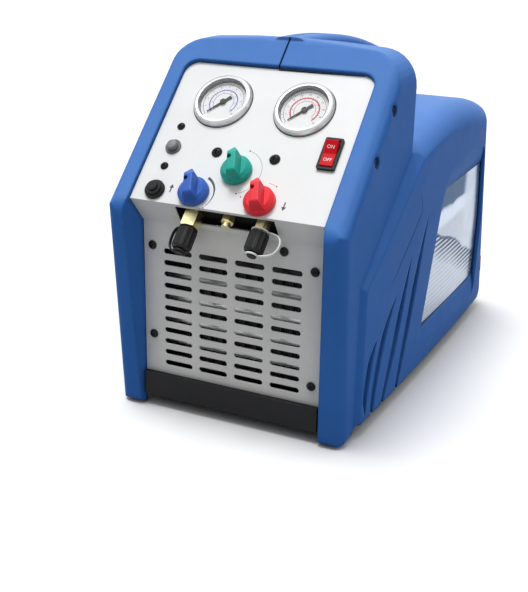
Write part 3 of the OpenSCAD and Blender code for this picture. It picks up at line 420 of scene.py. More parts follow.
def ribbon(points, width):
    """Quads of a printed line through flat points; width is a number, or a function of the way along."""
    sides = []
    last = len(points) - 1
    for i, p in enumerate(points):
        ahead = (points[min(i + 1, last)] - points[max(i - 1, 0)]).normalized()
        wide = width(i / last) if callable(width) else width
        aside = Vector((-ahead.y, ahead.x)) * wide / 2
        sides.append((p + aside, p - aside))
    return [[a, b, d, c] for (a, b), (c, d) in zip(sides, sides[1:])]


def arc_line(r, start, end, width, at=(0, 0)):
    """Quads of a printed arc, with its angles in degrees."""
    steps = max(FEWEST_STEPS, int(abs(end - start) / ARC_STEP))
    turns = [start + (end - start) * i / steps for i in range(steps + 1)]
    return ribbon([around(at, r, turn) for turn in turns], width)


def dot_mark(at, r):
    """One round printed dot."""
    return [[around(at, r, i * 360 / DOT_CORNERS) for i in range(DOT_CORNERS)]]


def ray_mark(degrees, start, end, width):
    """Printed tick that points away from the middle."""
    return ribbon([around((0, 0), start, degrees), around((0, 0), end, degrees)], width)


def words(text, size, at=(0, 0)):
    """Flat outline of a short legend, centred at a point, in millimetres."""
    curve = bpy.data.curves.new("legend", "FONT")
    curve.body = text
    curve.size = size
    curve.align_x = "CENTER"
    curve.align_y = "CENTER"
    curve.resolution_u = 3
    holder = bpy.data.objects.new("legend", curve)
    bpy.context.scene.collection.objects.link(holder)
    mesh = holder.to_mesh()
    faces = [[mesh.vertices[i].co.xy + Vector(at) for i in p.vertices] for p in mesh.polygons]
    holder.to_mesh_clear()
    bpy.data.objects.remove(holder)
    bpy.data.curves.remove(curve)
    return faces


def print_on(name, faces, material, body, origin, up=UP):
    """Lays flat faces, in millimetres, on a surface through origin that leans back along up."""
    lift = ACROSS.cross(up).normalized() * sizes().print_lift
    made = bmesh.new()
    for face in faces:
        made.faces.new([made.verts.new(origin + lift + (ACROSS * p.x + up * p.y) * MM) for p in face])
    bmesh.ops.remove_doubles(made, verts=made.verts, dist=WELD)
    made.normal_update()
    for face in made.faces:
        if face.normal.dot(lift) < 0:
            face.normal_flip()
    return add_piece(name, made, material, body)


def fuller(x, power):
    """Sine or cosine pushed outwards, for a section between an ellipse and a rectangle."""
    return math.copysign(abs(x) ** power, x)


def swept_band(made, path, wide, width, thickness):
    """Flat rounded band along a path, into an open bmesh."""
    corners, wide_power, thick_power = 12, 0.55, 0.8
    turns = [k * 2 * math.pi / corners for k in range(corners)]
    rings = []
    last = len(path) - 1
    for i, p in enumerate(path):
        ahead = (path[min(i + 1, last)] - path[max(i - 1, 0)]).normalized()
        thick = ahead.cross(wide).normalized()
        ring = []
        for a in turns:
            x = fuller(math.cos(a), wide_power) * width / 2
            y = fuller(math.sin(a), thick_power) * thickness / 2
            ring.append(made.verts.new(p + wide * x + thick * y))
        rings.append(ring)
    for a, b in zip(rings, rings[1:]):
        for k in range(corners):
            beside = (k + 1) % corners
            made.faces.new((a[k], a[beside], b[beside], b[k]))
    made.faces.new(reversed(rings[0]))
    made.faces.new(rings[-1])


def soft_ring(made, middle, axis, inner, outer, thickness):
    """Moulded ring with rounded edges, into an open bmesh."""
    steps, corners, wide_power, thick_power = 40, 10, 0.5, 0.6
    side = axis.orthogonal().normalized()
    other = axis.cross(side).normalized()
    mid = (inner + outer) / 2
    half = (outer - inner) / 2
    turns = [k * 2 * math.pi / corners for k in range(corners)]
    section = [(fuller(math.cos(a), wide_power), fuller(math.sin(a), thick_power)) for a in turns]
    rings = []
    for i in range(steps):
        a = i * 2 * math.pi / steps
        spoke = side * math.cos(a) + other * math.sin(a)
        ring = [middle + spoke * (mid + half * c) + axis * (s * thickness / 2) for c, s in section]
        rings.append([made.verts.new(p) for p in ring])
    for i in range(steps):
        a, b = rings[i], rings[(i + 1) % steps]
        for k in range(corners):
            beside = (k + 1) % corners
            made.faces.new((a[k], b[k], b[beside], a[beside]))


class MACHINE_OT_shells(bpy.types.Operator):
    """Finish the moulded side shells"""
    bl_idname = "machine.shells"
    bl_label = "Shells"

    # Painted shade of a bent groove in front of a window: its hooked top and its foot, back and up, in
    # millimetres
    LINE = ((-49.5, 204.0), (-44.1, 195.6), (-41.6, 185.5), (-115.5, 133.0))

    def line_points(self):
        """Flat points of the bent line, from its hooked top to its foot."""
        top_steps, foot_steps = 4, 16
        start, bend, end, foot = [Vector(p) for p in self.LINE]
        points = []
        for i in range(top_steps + 1):
            t = i / top_steps
            points.append(start.lerp(bend, t).lerp(bend.lerp(end, t), t))
        return points + [end.lerp(foot, i / foot_steps) for i in range(1, foot_steps + 1)]

    def mould_line(self, side, sign, material):
        """Painted shade of a thin bent groove in front of a window, laid on the bowed side of a shell."""
        end_w, swell, outside = 0.5, 1.1, 0.3
        shell = NODES[side + "_shell"]
        made = bmesh.new()
        for quad in ribbon(self.line_points(), lambda t: end_w + swell * math.sin(math.pi * t)):
            corners = []
            for q in quad:
                start = Vector((sign * outside, q.x * MM, q.y * MM))
                met, spot, *_ = shell.ray_cast(start, Vector((-sign, 0, 0)))
                if not met:
                    raise RuntimeError("the line leaves the " + side + " shell")
                corners.append(made.verts.new(spot + ACROSS * sign * sizes().print_lift))
            made.faces.new(corners if sign > 0 else corners[::-1])
        bmesh.ops.remove_doubles(made, verts=made.verts, dist=WELD)
        add_piece(side + "_mould_line", made, material, "case")

    def seam(self, n, place):
        """Mask of the line where the two halves meet in the front of the top bar."""
        side_fade, back_fade = (0.0005, 0.0011), (-0.088, -0.074)
        near = n.spread(n.math("ABSOLUTE", place["X"]), 1.0, 0.0, side_fade)
        return n.math("MULTIPLY", near, n.spread(place["Y"], 1.0, 0.0, back_fade))

    def execute(self, context):
        c = colours()
        seam_tone, groove_shade_tone = 0.04, 0.22
        # The shells' rubbed edges are lightened as wear and also as a painted highlight; the shells also get
        # a painted sheen on top and painted shade in their corners
        blue = moulded("moulded blue", c.shell, gloss=(0.40, 0.52), tint=0.06, rub=0.3, grain=1500.0,
                       depth=0.00005, edge=sizes().shell_edge, cloud=9.0, specular=0.02, rub_to=c.shell_rub_and_highlight,
                       painted_sheen=c.shell_sheen, hollow=(0.6, 0.007))
        darken(blue, self.seam, shade(c.shell, seam_tone))
        dress(blue, "right_shell", "left_shell")
        shadow = moulded("moulded line", shade(c.shell, groove_shade_tone)[:3], gloss=(0.5, 0.6), specular=0.02,
                         edge=0.0002)
        self.mould_line("right", 1, shadow)
        self.mould_line("left", -1, shadow)
        return {"FINISHED"}


class MACHINE_OT_windows(bpy.types.Operator):
    """Finish the glossy plates in the side windows, with a painted reflection"""
    bl_idname = "machine.windows"
    bl_label = "Side windows"

    # Tones of the painted reflection on its way up
    TONES = ((0.55, "plate", 0.92), (0.60, "plate", 1.35), (0.69, "plate", 1.35), (0.735, "plate_dark", 1.0))

    def upper(self, n, back, rise):
        """Painted reflection over the break, with a bright strip at its rear end."""
        c = colours()
        heights, strip_tone, strip_cover, strip_rear = (0.080, 0.200), 1.12, 0.9, (0.118, 0.135)
        sheen = n.add("ValToRGB", {0: n.spread(rise, 0.0, 1.0, heights)})
        stops = sheen.color_ramp.elements
        stops[0].color = shade(c.plate)
        stops[1].color = shade(c.plate_dark)
        for at, tone, factor in self.TONES:
            stops.new(at).color = shade(getattr(c, tone), factor)
        strip = n.spread(back, 0.0, strip_cover, strip_rear)
        return n.blend(strip, sheen.outputs[0], shade(c.plate, strip_tone))

    def lower(self, n, height, rise, over):
        """Ribs under the break, which fade at the foot, on a ground of painted reflection that is dark close
        to the break.
        """
        c = colours()
        half_pitch, rib_edge, rib_tone, rib_cover = 0.0026, (0.0011, 0.0016), 1.16, 0.8
        foot_cover, foot_fade = 0.25, (0.055, 0.070)
        dark, pale, ground_fade = 0.45, 0.84, (-0.032, -0.006)
        row = n.spread(n.math("PINGPONG", height, half_pitch), 0.0, 1.0, rib_edge)
        ribs = n.math("MULTIPLY", row, n.spread(rise, foot_cover, 1.0, foot_fade))
        below = n.spread(over, 1.0, 0.0, ground_fade)
        ground = n.blend(below, shade(c.plate_dark, dark), shade(c.plate, pale))
        return n.blend(n.math("MULTIPLY", ribs, rib_cover), ground, shade(c.plate, rib_tone))

    def execute(self, context):
        # The painted reflection breaks along a wavy line that falls towards the back, with painted shade
        # along the fold
        break_height, break_fall, sway, break_edge = 0.1556, 0.40, 0.003, (-0.001, 0.001)
        fold_shade_tone, fold_cover, fold_width = 0.8, 0.8, (0.0008, 0.0030)
        rear_cover, rear_fade = 0.35, (0.075, 0.125)
        # The dark breaks of the painted reflection mirror little: their brightness and the rest's, and how
        # metallic each is
        tones, metal, gloss, shine = (0.15, 0.36), (0.1, 0.85), (0.14, 0.26), 0.02
        material, n, bsdf = start_material("window plate")
        place = n.parts(n.place())
        surface = use_group(n, "moulded grain", Grain=900.0, Cloud=16.0)
        wave = n.spread(surface["Tint"], -sway, sway)
        back = n.math("ADD", place["Y"], wave)
        rise = n.math("ADD", place["Z"], wave)
        fallen = n.math("ADD", rise, n.math("MULTIPLY", back, break_fall))
        over = n.math("SUBTRACT", fallen, break_height)
        sheet = n.blend(n.spread(over, 0.0, 1.0, break_edge), self.lower(n, place["Z"], rise, over),
                        self.upper(n, back, rise))
        near = n.spread(n.math("ABSOLUTE", over), fold_cover, 0.0, fold_width)
        fold_shade = n.math("MULTIPLY", near, n.spread(back, 1.0, rear_cover, rear_fade))
        finish = n.blend(fold_shade, sheet, shade(colours().plate_dark, fold_shade_tone))
        bright = n.add("RGBToBW", {0: finish}).outputs[0]
        n.fill(bsdf, {"Base Color": finish, "Metallic": n.spread(bright, *metal, tones),
                      "Roughness": n.spread(surface["Haze"], *gloss), "Specular IOR Level": shine})
        dress(material, "right_side_plate", "left_side_plate")
        return {"FINISHED"}


class MACHINE_OT_panel(bpy.types.Operator):
    """Finish the sheet metal and print the control panel's marks"""
    bl_idname = "machine.panel"
    bl_label = "Control panel"

    # Dots round the knobs: distance and angle from the knob's middle, and radius
    DOTS = (("input", 19.2, -44, 0.75), ("mode", 23.2, 78, 0.8), ("mode", 23.2, -72, 0.8),
            ("output", 20.2, 62, 0.7), ("output", 20.2, 172, 0.7))
    # Thin arcs round the knobs: radius, first and last angle, and width
    ARCS = (("mode", 23.2, 74, -68, 0.55), ("input", 19.0, -50, -84, 0.5), ("output", 20.2, 66, 86, 0.45))
    # Arrows of the way in and the way out: place across and up, and 1 for up or -1 for down
    ARROWS = ((-59, 16, 1), (53, 14, -1))

    def knob_marks(self):
        """Dark tapered arc, dots and arrows beside the knobs."""
        taper_r, taper_first, taper_last, wide, narrow = 18.9, 66, -38, 2.65, 0.35
        shaft_foot, shaft_top, shaft_w = -4.2, 1.0, 1.25
        head_foot, head_top, head_half = 0.6, 4.6, 2.3
        marks = arc_line(taper_r, taper_first, taper_last, lambda t: wide + (narrow - wide) * t,
                         panel_place("input_knob_turn"))
        for knob, far, angle, r in self.DOTS:
            marks += dot_mark(around(panel_place(knob + "_knob_turn"), far, angle), r)
        for u, v, way in self.ARROWS:
            marks += ribbon([Vector((u, v + end * way)) for end in (shaft_foot, shaft_top)], shaft_w)
            head = ((-head_half, head_foot), (head_half, head_foot), (0, head_top))
            marks += [[Vector((u + x, v + y * way)) for x, y in head]]
        return marks

    def gaps(self, seat):
        """Painted shadow: a dark strip under the top bar, uneven at the seam, and dark rings round the
        gauges.
        """
        sink, end_gap, seam, bend = 0.4, 13, -1, 0.55
        widths = ((0.5, 0.9), (2.2, 1.7), (1.7, 0.7))
        ring_r, ring_w = 28.9, 0.9
        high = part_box("panel_overlay")[1]
        top = (Vector((0, high.y, high.z)) - seat).dot(UP) / MM - sink
        end = high.x / MM - end_gap
        stops = (-end, seam, end * bend, end)
        faces = []
        for left, right, (left_w, right_w) in zip(stops, stops[1:], widths):
            corners = ((left, top - left_w), (right, top - right_w), (right, top), (left, top))
            faces += [[Vector(p) for p in corners]]
        for joint in ("low_needle", "high_needle"):
            faces += arc_line(ring_r, 0, 360, ring_w, panel_place(joint))
        return faces

    def execute(self, context):
        c = colours()
        shadow_tone, shadow_gloss = 0.6, 0.7
        # The silver paint gets painted shade in its corners and grooves
        silver = moulded("silver paint", c.sheet, gloss=(0.34, 0.46), tint=0.05, rub=0.5, grain=5200.0,
                         depth=0.00002, edge=0.0006, cloud=20.0, hollow=(0.5, 0.020))
        dress(silver, "front_panel", "rear_panel")
        film = moulded("panel film", c.film, gloss=(0.30, 0.42), tint=0.025, rub=0.0, grain=3800.0,
                       depth=0.000012, edge=0.0003, cloud=18.0)
        dress(film, "panel_overlay")
        seat = on_panel(0, 0)
        print_on("panel_marks", self.knob_marks(), ink("dark print", c.ink), "case", seat)
        rings = []
        for knob, r, first, last, width in self.ARCS:
            rings += arc_line(r, first, last, width, panel_place(knob + "_knob_turn"))
        print_on("panel_rings", rings, ink("pale print", c.pale_ink), "case", seat)
        shadow = ink("gap shade", shade(c.ink, shadow_tone)[:3], shadow_gloss)
        print_on("panel_gaps", self.gaps(seat), shadow, "case", seat)
        return {"FINISHED"}


class MACHINE_OT_gauges(bpy.types.Operator):
    """Finish the gauges and print their dials"""
    bl_idname = "machine.gauges"
    bl_label = "Gauges"

    # Angles where the scales start and end, in degrees
    FIRST, LAST = 225, -45

    def lens(self):
        """Clear lens with faint smears, which shows more towards its edge."""
        smears, cover, edge_start, shine = (0.02, 0.06), (0.02, 0.12), 0.25, 0.8
        material, n, bsdf = start_material("gauge lens")
        smear = use_group(n, "moulded grain", Grain=900.0, Cloud=60.0)
        facing = n.add("LayerWeight", {"Blend": edge_start}).outputs["Facing"]
        n.fill(bsdf, {"Base Color": shade(colours().lens), "Roughness": n.spread(smear["Haze"], *smears),
                      "Alpha": n.spread(facing, *cover), "Specular IOR Level": shine})
        return material

    def outer_scale(self, step):
        """Painted shade ring at the rim, with the printed arc, ticks and numbers of the outer scale."""
        rim_shade_r, arc_r, short_r, long_r, number_r = 22.9, 19.8, 20.8, 21.6, 17.4
        rim_shade_w, short_w, long_w, number_size = 0.8, 0.2, 0.34, 2.5
        ticks, ticks_to_long, numbers = 50, 5, 10
        sweep = self.FIRST - self.LAST
        faces = arc_line(arc_r, self.FIRST, self.LAST, long_w) + arc_line(rim_shade_r, 0, 360, rim_shade_w)
        for i in range(ticks + 1):
            end, width = (short_r, short_w) if i % ticks_to_long else (long_r, long_w)
            faces += ray_mark(self.FIRST - i * sweep / ticks, arc_r, end, width)
        for i in range(numbers + 1):
            place = around((0, 0), number_r, self.FIRST - i * sweep / numbers)
            faces += words(str(i * step), number_size, place)
        return faces

    def inner_scale(self, width):
        """Coloured arcs, ticks and numbers of the inner scale."""
        arc_r, tick_r, tick_w, number_r, number_size = 13.6, 15.2, 0.34, 11.9, 1.6
        thin_r, thin_w, thin_first, thin_last = 10.2, 0.45, 215, -35
        ticks, tick_turn, numbers, step = 28, 10, 8, 20
        number_first, number_turn = 218, 36.6
        faces = arc_line(arc_r, self.FIRST, self.LAST, width)
        faces += arc_line(thin_r, thin_first, thin_last, thin_w)
        for i in range(ticks):
            faces += ray_mark(self.FIRST - i * tick_turn, arc_r, tick_r, tick_w)
        for i in range(numbers):
            place = around((0, 0), number_r, number_first - i * number_turn)
            faces += words(str(i * step), number_size, place)
        return faces

    def hub(self, side, material):
        """Low dome on a pointer's middle."""
        radius, lift, flatness = 0.0016, 0.00072, 0.35
        seat = Matrix.Translation(centre(side + "_needle") + OUT * lift)
        turned = OUT.to_track_quat("Z", "Y").to_matrix().to_4x4()
        flat = Matrix.Diagonal((1, 1, flatness, 1))
        made = bmesh.new()
        bmesh.ops.create_uvsphere(made, u_segments=24, v_segments=12, radius=radius,
                                  matrix=seat @ turned @ flat)
        add_piece(side + "_pointer_hub", made, material, side + "_pointer", smooth=True)

    def execute(self, context):
        c = colours()
        paler, print_gloss = 0.02, 0.55
        bezel = bare_metal("polished bezel", c.steel, gloss=(0.30, 0.42), stain=0.2, fine=500.0, edge=0.0006)
        dress(bezel, "low_gauge_case", "high_gauge_case")
        face = moulded("dial face", c.dial, gloss=(0.5, 0.6), tint=0.02, rub=0.0, depth=0.00001)
        dress(face, "low_gauge_dial", "high_gauge_dial")
        pointer = moulded("pointer black", c.ink, gloss=(0.3, 0.4), edge=0.0002)
        dress(pointer, "low_gauge_pointer", "high_gauge_pointer")
        dress(self.lens(), "low_gauge_lens", "high_gauge_lens")
        hub = bare_metal("pointer hub", c.steel, gloss=(0.2, 0.3))
        # This dark ink prints the scales and also the painted shade ring at each dial's rim
        dark = ink("scale print", [x + paler for x in c.ink], print_gloss)
        for side, tone, step, width in (("low", c.low_ink, 1, 0.9), ("high", c.high_ink, 5, 1.3)):
            middle = centre(side + "_needle") + OUT * sizes().dial_lift
            print_on(side + "_scale", self.outer_scale(step), dark, "case", middle)
            coloured = ink(side + " scale", tone, print_gloss)
            print_on(side + "_inner_scale", self.inner_scale(width), coloured, "case", middle)
            self.hub(side, hub)
        return {"FINISHED"}


class MACHINE_OT_valves(bpy.types.Operator):
    """Finish the knobs, stems and valve block"""
    bl_idname = "machine.valves"
    bl_label = "Valves"

    def execute(self, context):
        c = colours()
        # Hole in a knob's grip, darkened with a disc of painted shade, in millimetres: place along it, aside
        # and out, and radius
        hole_along, hole_aside, hole_out, hole_r = 5.4, -2.4, 11.95, 2.17
        turn = math.radians(16.5)
        along = UP * math.cos(turn) - ACROSS * math.sin(turn)
        aside = ACROSS * math.cos(turn) + UP * math.sin(turn)
        reach = (along * hole_along + aside * hole_aside + OUT * hole_out) * MM
        hole = moulded("knob hole", c.knob_hole, gloss=(0.5, 0.6), edge=0.0001)
        for name, tone in (("input", c.blue_knob), ("mode", c.green_knob), ("output", c.red_knob)):
            plastic = moulded(name + " knob plastic", tone, gloss=(0.28, 0.40), tint=0.05, rub=0.25,
                              grain=3000.0, depth=0.00002, edge=0.0006, specular=0.2)
            dress(plastic, name + "_knob")
            spot = centre(name + "_knob_turn") + reach
            print_on(name + "_knob_dot", dot_mark((0, 0), hole_r), hole, name + "_valve",
                     spot)
        brass = bare_metal("brass", c.brass, gloss=(0.26, 0.42), fine=700.0)
        dress(brass, "input_stem", "mode_stem", "output_stem", "input_port", "output_port", "purge_plug")
        block = moulded("blackened block", c.black, gloss=(0.42, 0.58), tint=0.2, rub=0.3, specular=0.05,
                        rub_to=(0.03, 0.03, 0.03))
        dress(block, "valve_manifold")
        return {"FINISHED"}


class MACHINE_OT_caps(bpy.types.Operator):
    """Finish the port caps and make their straps"""
    bl_idname = "machine.caps"
    bl_label = "Caps and straps"

    def strap(self, name, side, bow, ring_at, eye_at, body, material, slot):
        """Strap from a ring on the port to a ring on its cap.

        bow is how far it stands out, in metres; ring_at and eye_at are the rings' places along the port,
        in millimetres.
        """
        port_depth, steps, bow_power, sway, hold = 13.0, 24, 0.75, -0.0024, 0.0015
        port_ring, cap_ring, ring_t = (0.0066, 0.0086), (0.0047, 0.0063), 0.0016
        port_end, cap_end = 0.0082, 0.0058
        off = Vector(JOINTS["input_cap_off"]["axis"]).normalized()
        low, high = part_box(name + "_port")
        foot = on_panel(0, 0, -port_depth)
        foot.x = (low.x + high.x) / 2
        ring = foot + off * ring_at * MM
        eye = foot + off * eye_at * MM
        out = ACROSS * side
        made = bmesh.new()
        soft_ring(made, ring, off, *port_ring, ring_t)
        soft_ring(made, eye, off, *cap_ring, ring_t)
        start = ring + out * port_end
        end = eye + out * cap_end
        path = []
        for i in range(steps + 1):
            t = i / steps
            bowed = out * bow * math.sin(math.pi * t) ** bow_power
            path.append(start.lerp(end, t) + bowed + off * sway * math.sin(2 * math.pi * t))
        swept_band(made, path, ACROSS.cross(off).normalized(), sizes().strap_w, sizes().strap_t)
        bmesh.ops.recalc_face_normals(made, faces=made.faces)
        strap = add_piece(name + "_cap_strap", made, material, None, smooth=True)
        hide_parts(name + "_strap")
        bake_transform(strap)

    def execute(self, context):
        c = colours()
        black = moulded("cap plastic", c.black, gloss=(0.34, 0.5), tint=0.2, rub=0.25, grain=2200.0,
                        depth=0.00003, edge=0.0005, specular=0.2, rub_to=(0.07, 0.07, 0.07))
        dress(black, "input_cap", "output_cap")
        pale = moulded("pale strap", c.strap, gloss=(0.25, 0.4), tint=0.04, rub=0.1, edge=0.0003)
        self.strap("input", side=-1, bow=0.006, ring_at=15.0, eye_at=38.6, body="inlet_cap",
                   material=black, slot="black_plastic")
        self.strap("output", side=1, bow=0.015, ring_at=7.0, eye_at=30.6, body="outlet_cap",
                   material=pale, slot="clear_strap")
        return {"FINISHED"}


class MACHINE_OT_switches(bpy.types.Operator):
    """Finish the power switch and the two buttons"""
    bl_idname = "machine.switches"
    bl_label = "Switches"

    def word(self, text, sign, material):
        """Word on one half of the rocker, which leans at rest and has sloping halves."""
        lean, slope = math.radians(10), math.radians(11.5)
        middle_height, word_at, word_size = 5, 6.1, 4.6
        tilt = lean + sign * slope
        along = sign * word_at
        height = middle_height + word_at * math.tan(slope)
        rise = along * math.cos(lean) - height * math.sin(lean)
        proud = along * math.sin(lean) + height * math.cos(lean)
        spot = centre("rocker_tip") + (UP * rise + OUT * proud) * MM
        print_on("rocker_" + text.lower(), words(text, word_size), material, "power_rocker",
                 spot, UP * math.cos(tilt) + OUT * math.sin(tilt))

    def execute(self, context):
        c = colours()
        bushing_tone, word_gloss = 0.6, 0.4
        black = moulded("switch black", c.black, gloss=(0.36, 0.5), tint=0.15, rub=0.2, edge=0.0004,
                        specular=0.2, rub_to=(0.08, 0.08, 0.08))
        dress(black, "switch_housing", "breaker_bushing", "breaker_button")
        red = moulded("rocker red", c.rocker, gloss=(0.32, 0.42), tint=0.08, rub=0.1, depth=0.00001,
                      edge=0.0006, specular=0.08)
        dress(red, "switch_rocker")
        button = moulded("button grey", c.grey, gloss=(0.3, 0.42), tint=0.06, rub=0.3, edge=0.0005)
        dress(button, "reset_button")
        dull_grey = shade(c.grey, bushing_tone)[:3]
        bushing = moulded("bushing grey", dull_grey, gloss=(0.3, 0.42), edge=0.0005)
        dress(bushing, "reset_bushing")
        legend = ink("switch legend", c.legend, word_gloss)
        self.word("ON", 1, legend)
        self.word("OFF", -1, legend)
        return {"FINISHED"}


class MACHINE_OT_fasteners(bpy.types.Operator):
    """Finish the screws"""
    bl_idname = "machine.fasteners"
    bl_label = "Screws"

    def execute(self, context):
        oxide = moulded("black oxide", colours().black, gloss=(0.26, 0.40), tint=0.2, rub=0.4, edge=0.0003,
                        specular=0.15, rub_to=(0.08, 0.08, 0.08))
        dress(oxide, "console_screws", "grille_screws", "shell_screws")
        return {"FINISHED"}


class MACHINE_OT_base(bpy.types.Operator):
    """Finish the tray, shroud, feet, pads, mounts and power inlet"""
    bl_idname = "machine.base"
    bl_label = "Base and back"

    def execute(self, context):
        c = colours()
        paint = moulded("tray black", c.tray, gloss=(0.34, 0.5), tint=0.15, rub=0.5, grain=2400.0,
                        depth=0.00003, edge=0.0006, specular=0.15, rub_to=(0.16, 0.16, 0.16))
        dress(paint, "base_tray", "fan_shroud")
        rubber = moulded("rubber", c.rubber, gloss=(0.62, 0.8), tint=0.25, rub=0.3, grain=1400.0,
                         depth=0.00008, edge=0.0008, rub_to=(0.06, 0.06, 0.058))
        dress(rubber, "rubber_feet", "rear_bumpers", "compressor_mounts")
        inlet = moulded("inlet black", c.black, gloss=(0.4, 0.55), tint=0.15, rub=0.2, edge=0.0004)
        dress(inlet, "power_inlet")
        return {"FINISHED"}


class MACHINE_OT_inside(bpy.types.Operator):
    """Finish the compressor, condenser, fan and pipes"""
    bl_idname = "machine.inside"
    bl_label = "Inside"

    def high_up(self, n, place):
        """Mask of the tubes that lie in the shade of the panel."""
        cover, rise = 0.97, (0.112, 0.144)
        return n.spread(place["Z"], 0.0, cover, rise)

    def fins(self):
        """Thin fins darkened with painted shade, and painted shade in the spaces between them."""
        # Painted shade: empty colours the spaces between the fins, and the fin tones are the alloy darkened;
        # the stain between the two tones is real
        half_pitch, fin_edge, empty = 0.0009, (0.0002, 0.00045), (0.004, 0.004, 0.004, 1)
        shaded_clean, shaded_stained, gloss, metal = 0.12, 0.07, (0.4, 0.6), 0.6
        alloy = colours().alloy
        material, n, bsdf = start_material("condenser fins")
        gap = n.spread(n.math("PINGPONG", n.parts(n.place())["X"], half_pitch), 0.0, 1.0, fin_edge)
        lines = use_group(n, "brushed lines", Fine=500.0, Stretch=0.3)
        edge = n.blend(lines["Stain"], shade(alloy, shaded_clean), shade(alloy, shaded_stained))
        n.fill(bsdf, {"Base Color": n.blend(gap, edge, empty), "Metallic": metal,
                      "Roughness": n.spread(lines["Line"], *gloss)})
        return material

    def execute(self, context):
        c = colours()
        cast_tone, tube_tone, dark = 0.85, 1.5, (0.01, 0.01, 0.01, 1)
        cast = bare_metal("cast alloy", shade(c.alloy, cast_tone)[:3], gloss=(0.42, 0.6), stain=0.4,
                          fine=300.0, stretch=1.0)
        dress(cast, "crankcase", "compressor_cylinder", "cylinder_head")
        dress(bare_metal("drawn can", c.alloy, gloss=(0.25, 0.4), fine=600.0), "run_capacitor")
        enamel = moulded("motor enamel", c.enamel, gloss=(0.28, 0.42), rub=0.4)
        dress(enamel, "compressor_motor", "fan_motor")
        dress(moulded("fan black", c.black, gloss=(0.4, 0.55)), "fan_blade")
        copper = bare_metal("copper", c.copper, gloss=(0.2, 0.4), stain=0.5)
        dress(copper, "suction_pipe", "discharge_pipe", "liquid_pipe")
        tubes = bare_metal("pale tube", shade(c.alloy, tube_tone)[:3], gloss=(0.3, 0.45))
        darken(tubes, self.high_up, dark)
        dress(tubes, "condenser_tubes")
        dress(self.fins(), "condenser_fins")
        return {"FINISHED"}


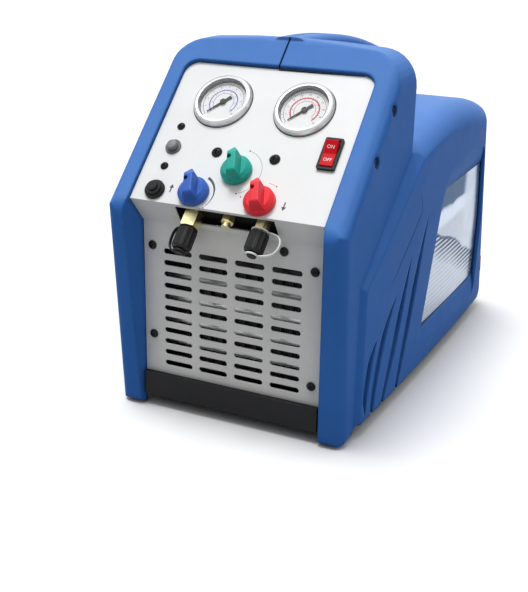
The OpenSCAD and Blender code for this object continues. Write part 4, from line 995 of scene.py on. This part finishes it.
class MACHINE_OT_stage(bpy.types.Operator):
    """Set the floor, light and camera"""
    bl_idname = "machine.stage"
    bl_label = "Stage"

    # Lamps: strength, angle in degrees, and direction that they stand in
    LAMPS = (("key", 2.2, 26, (-0.16, -0.06, 1.0)), ("fill", 0.12, 60, (0.9, -0.2, 0.3)))
    # Camera: place and aim in metres, roll in degrees, sensor in millimetres, and depth of view
    CAMERA_AT, CAMERA_AIM = (0.4033, -0.9883, 0.4562), (0.0404, -0.2165, 0.1396)
    CAMERA_ROLL, SENSOR, NEAREST, FARTHEST = 1.14, 36, 0.05, 60

    def lay_floor(self, scene):
        """Pale floor, dim for the rays that don't show it, so that it sends little light back up."""
        half, dim, darker, paler, rough, shine = 9.0, 0.40, 0.995, 1.005, 0.85, 0.1
        pale = colours().floor
        mesh = bpy.data.meshes.new("studio_floor")
        made = bmesh.new()
        bmesh.ops.create_grid(made, x_segments=2, y_segments=2, size=half)
        made.to_mesh(mesh)
        made.free()
        floor = bpy.data.objects.new("studio_floor", mesh)
        scene.collection.objects.link(floor)
        paper, n, bsdf = start_material("floor paper")
        cloud = use_group(n, "moulded grain", Grain=60.0, Cloud=1.5)
        tone = n.blend(cloud["Tint"], shade(pale, darker), shade(pale, paler))
        n.fill(bsdf, {"Base Color": n.blend(showing(n), shade(pale, dim), tone), "Roughness": rough,
                      "Specular IOR Level": shine})
        mesh.materials.append(paper)

    def light_world(self, scene):
        """World that is white where it shows, and that lights from overhead and from behind."""
        least, most, light, white = 0.07, 0.95, (0.97, 0.985, 1.0, 1), (1, 1, 1, 1)
        overhead_rise, behind_turn, behind_rise = (0.30, 0.85), (0.10, 0.70), (0.0, 0.6)
        behind_low, behind_high = 0.8, 0.3
        world = bpy.data.worlds.new("soft studio")
        scene.world = world
        world.use_nodes = True
        n = Nodes(world.node_tree)
        n.tree.nodes.clear()
        toward = n.parts(n.add("TexCoord").outputs["Generated"])
        overhead = n.spread(toward["Z"], 0.0, 1.0, overhead_rise)
        height = n.spread(toward["Z"], behind_low, behind_high, behind_rise)
        behind = n.math("MULTIPLY", n.spread(toward["Y"], 0.0, 1.0, behind_turn), height)
        level = n.spread(n.math("MAXIMUM", overhead, behind), least, most)
        seen = showing(n)
        back = n.add("Background", {"Color": n.blend(seen, light, white),
                                    "Strength": n.spread(seen, level, 1.0)})
        n.add("OutputWorld", {"Surface": back.outputs[0]})

    def hang_lamps(self, scene):
        for name, energy, angle, toward in self.LAMPS:
            lamp = bpy.data.lights.new(name, "SUN")
            lamp.energy = energy
            lamp.angle = math.radians(angle)
            holder = bpy.data.objects.new(name, lamp)
            holder.rotation_euler = Vector(toward).to_track_quat("Z", "Y").to_euler()
            scene.collection.objects.link(holder)

    def place_camera(self, scene):
        camera = bpy.data.cameras.new("photo view")
        camera.lens = sizes().focal
        camera.sensor_width = self.SENSOR
        camera.clip_start = self.NEAREST
        camera.clip_end = self.FARTHEST
        at = Vector(self.CAMERA_AT)
        ahead = (Vector(self.CAMERA_AIM) - at).normalized()
        level = ahead.cross(Vector((0, 0, 1))).normalized()
        upright = level.cross(ahead)
        roll = math.radians(self.CAMERA_ROLL)
        right = level * math.cos(roll) + upright * math.sin(roll)
        up = upright * math.cos(roll) - level * math.sin(roll)
        holder = bpy.data.objects.new("photo view", camera)
        turned = Matrix((right, up, -ahead)).transposed().to_4x4()
        holder.matrix_world = Matrix.Translation(at) @ turned
        scene.collection.objects.link(holder)
        scene.camera = holder

    def execute(self, context):
        scene = context.scene
        scene.view_settings.view_transform = "Standard"
        self.lay_floor(scene)
        self.light_world(scene)
        self.hang_lamps(scene)
        self.place_camera(scene)
        return {"FINISHED"}


OPERATORS = (MACHINE_OT_shells, MACHINE_OT_windows, MACHINE_OT_panel, MACHINE_OT_gauges, MACHINE_OT_valves,
             MACHINE_OT_caps, MACHINE_OT_switches, MACHINE_OT_fasteners, MACHINE_OT_base, MACHINE_OT_inside,
             MACHINE_OT_stage)


class VIEW3D_PT_machine(bpy.types.Panel):
    """Sidebar list of the finishes"""
    bl_label = "Recovery machine"
    bl_space_type = "VIEW_3D"
    bl_region_type = "UI"
    bl_category = "Machine"

    def draw(self, context):
        for operator in OPERATORS:
            self.layout.operator(operator.bl_idname)
        for held in (context.scene.machine_sizes, context.scene.machine_colours):
            for name in held.__annotations__:
                self.layout.prop(held, name)


CLASSES = (MachineColours, MachineSizes, *OPERATORS, VIEW3D_PT_machine)


def register():
    for item in CLASSES:
        bpy.utils.register_class(item)
    bpy.types.Scene.machine_colours = PointerProperty(type=MachineColours)
    bpy.types.Scene.machine_sizes = PointerProperty(type=MachineSizes)


def unregister():
    del bpy.types.Scene.machine_sizes
    del bpy.types.Scene.machine_colours
    for item in reversed(CLASSES):
        bpy.utils.unregister_class(item)


def main():
    register()
    for operator in OPERATORS:
        group_name, name = operator.bl_idname.split(".")
        getattr(getattr(bpy.ops, group_name), name)()
    bpy.context.view_layer.update()


if __name__ == "__main__":
    main()
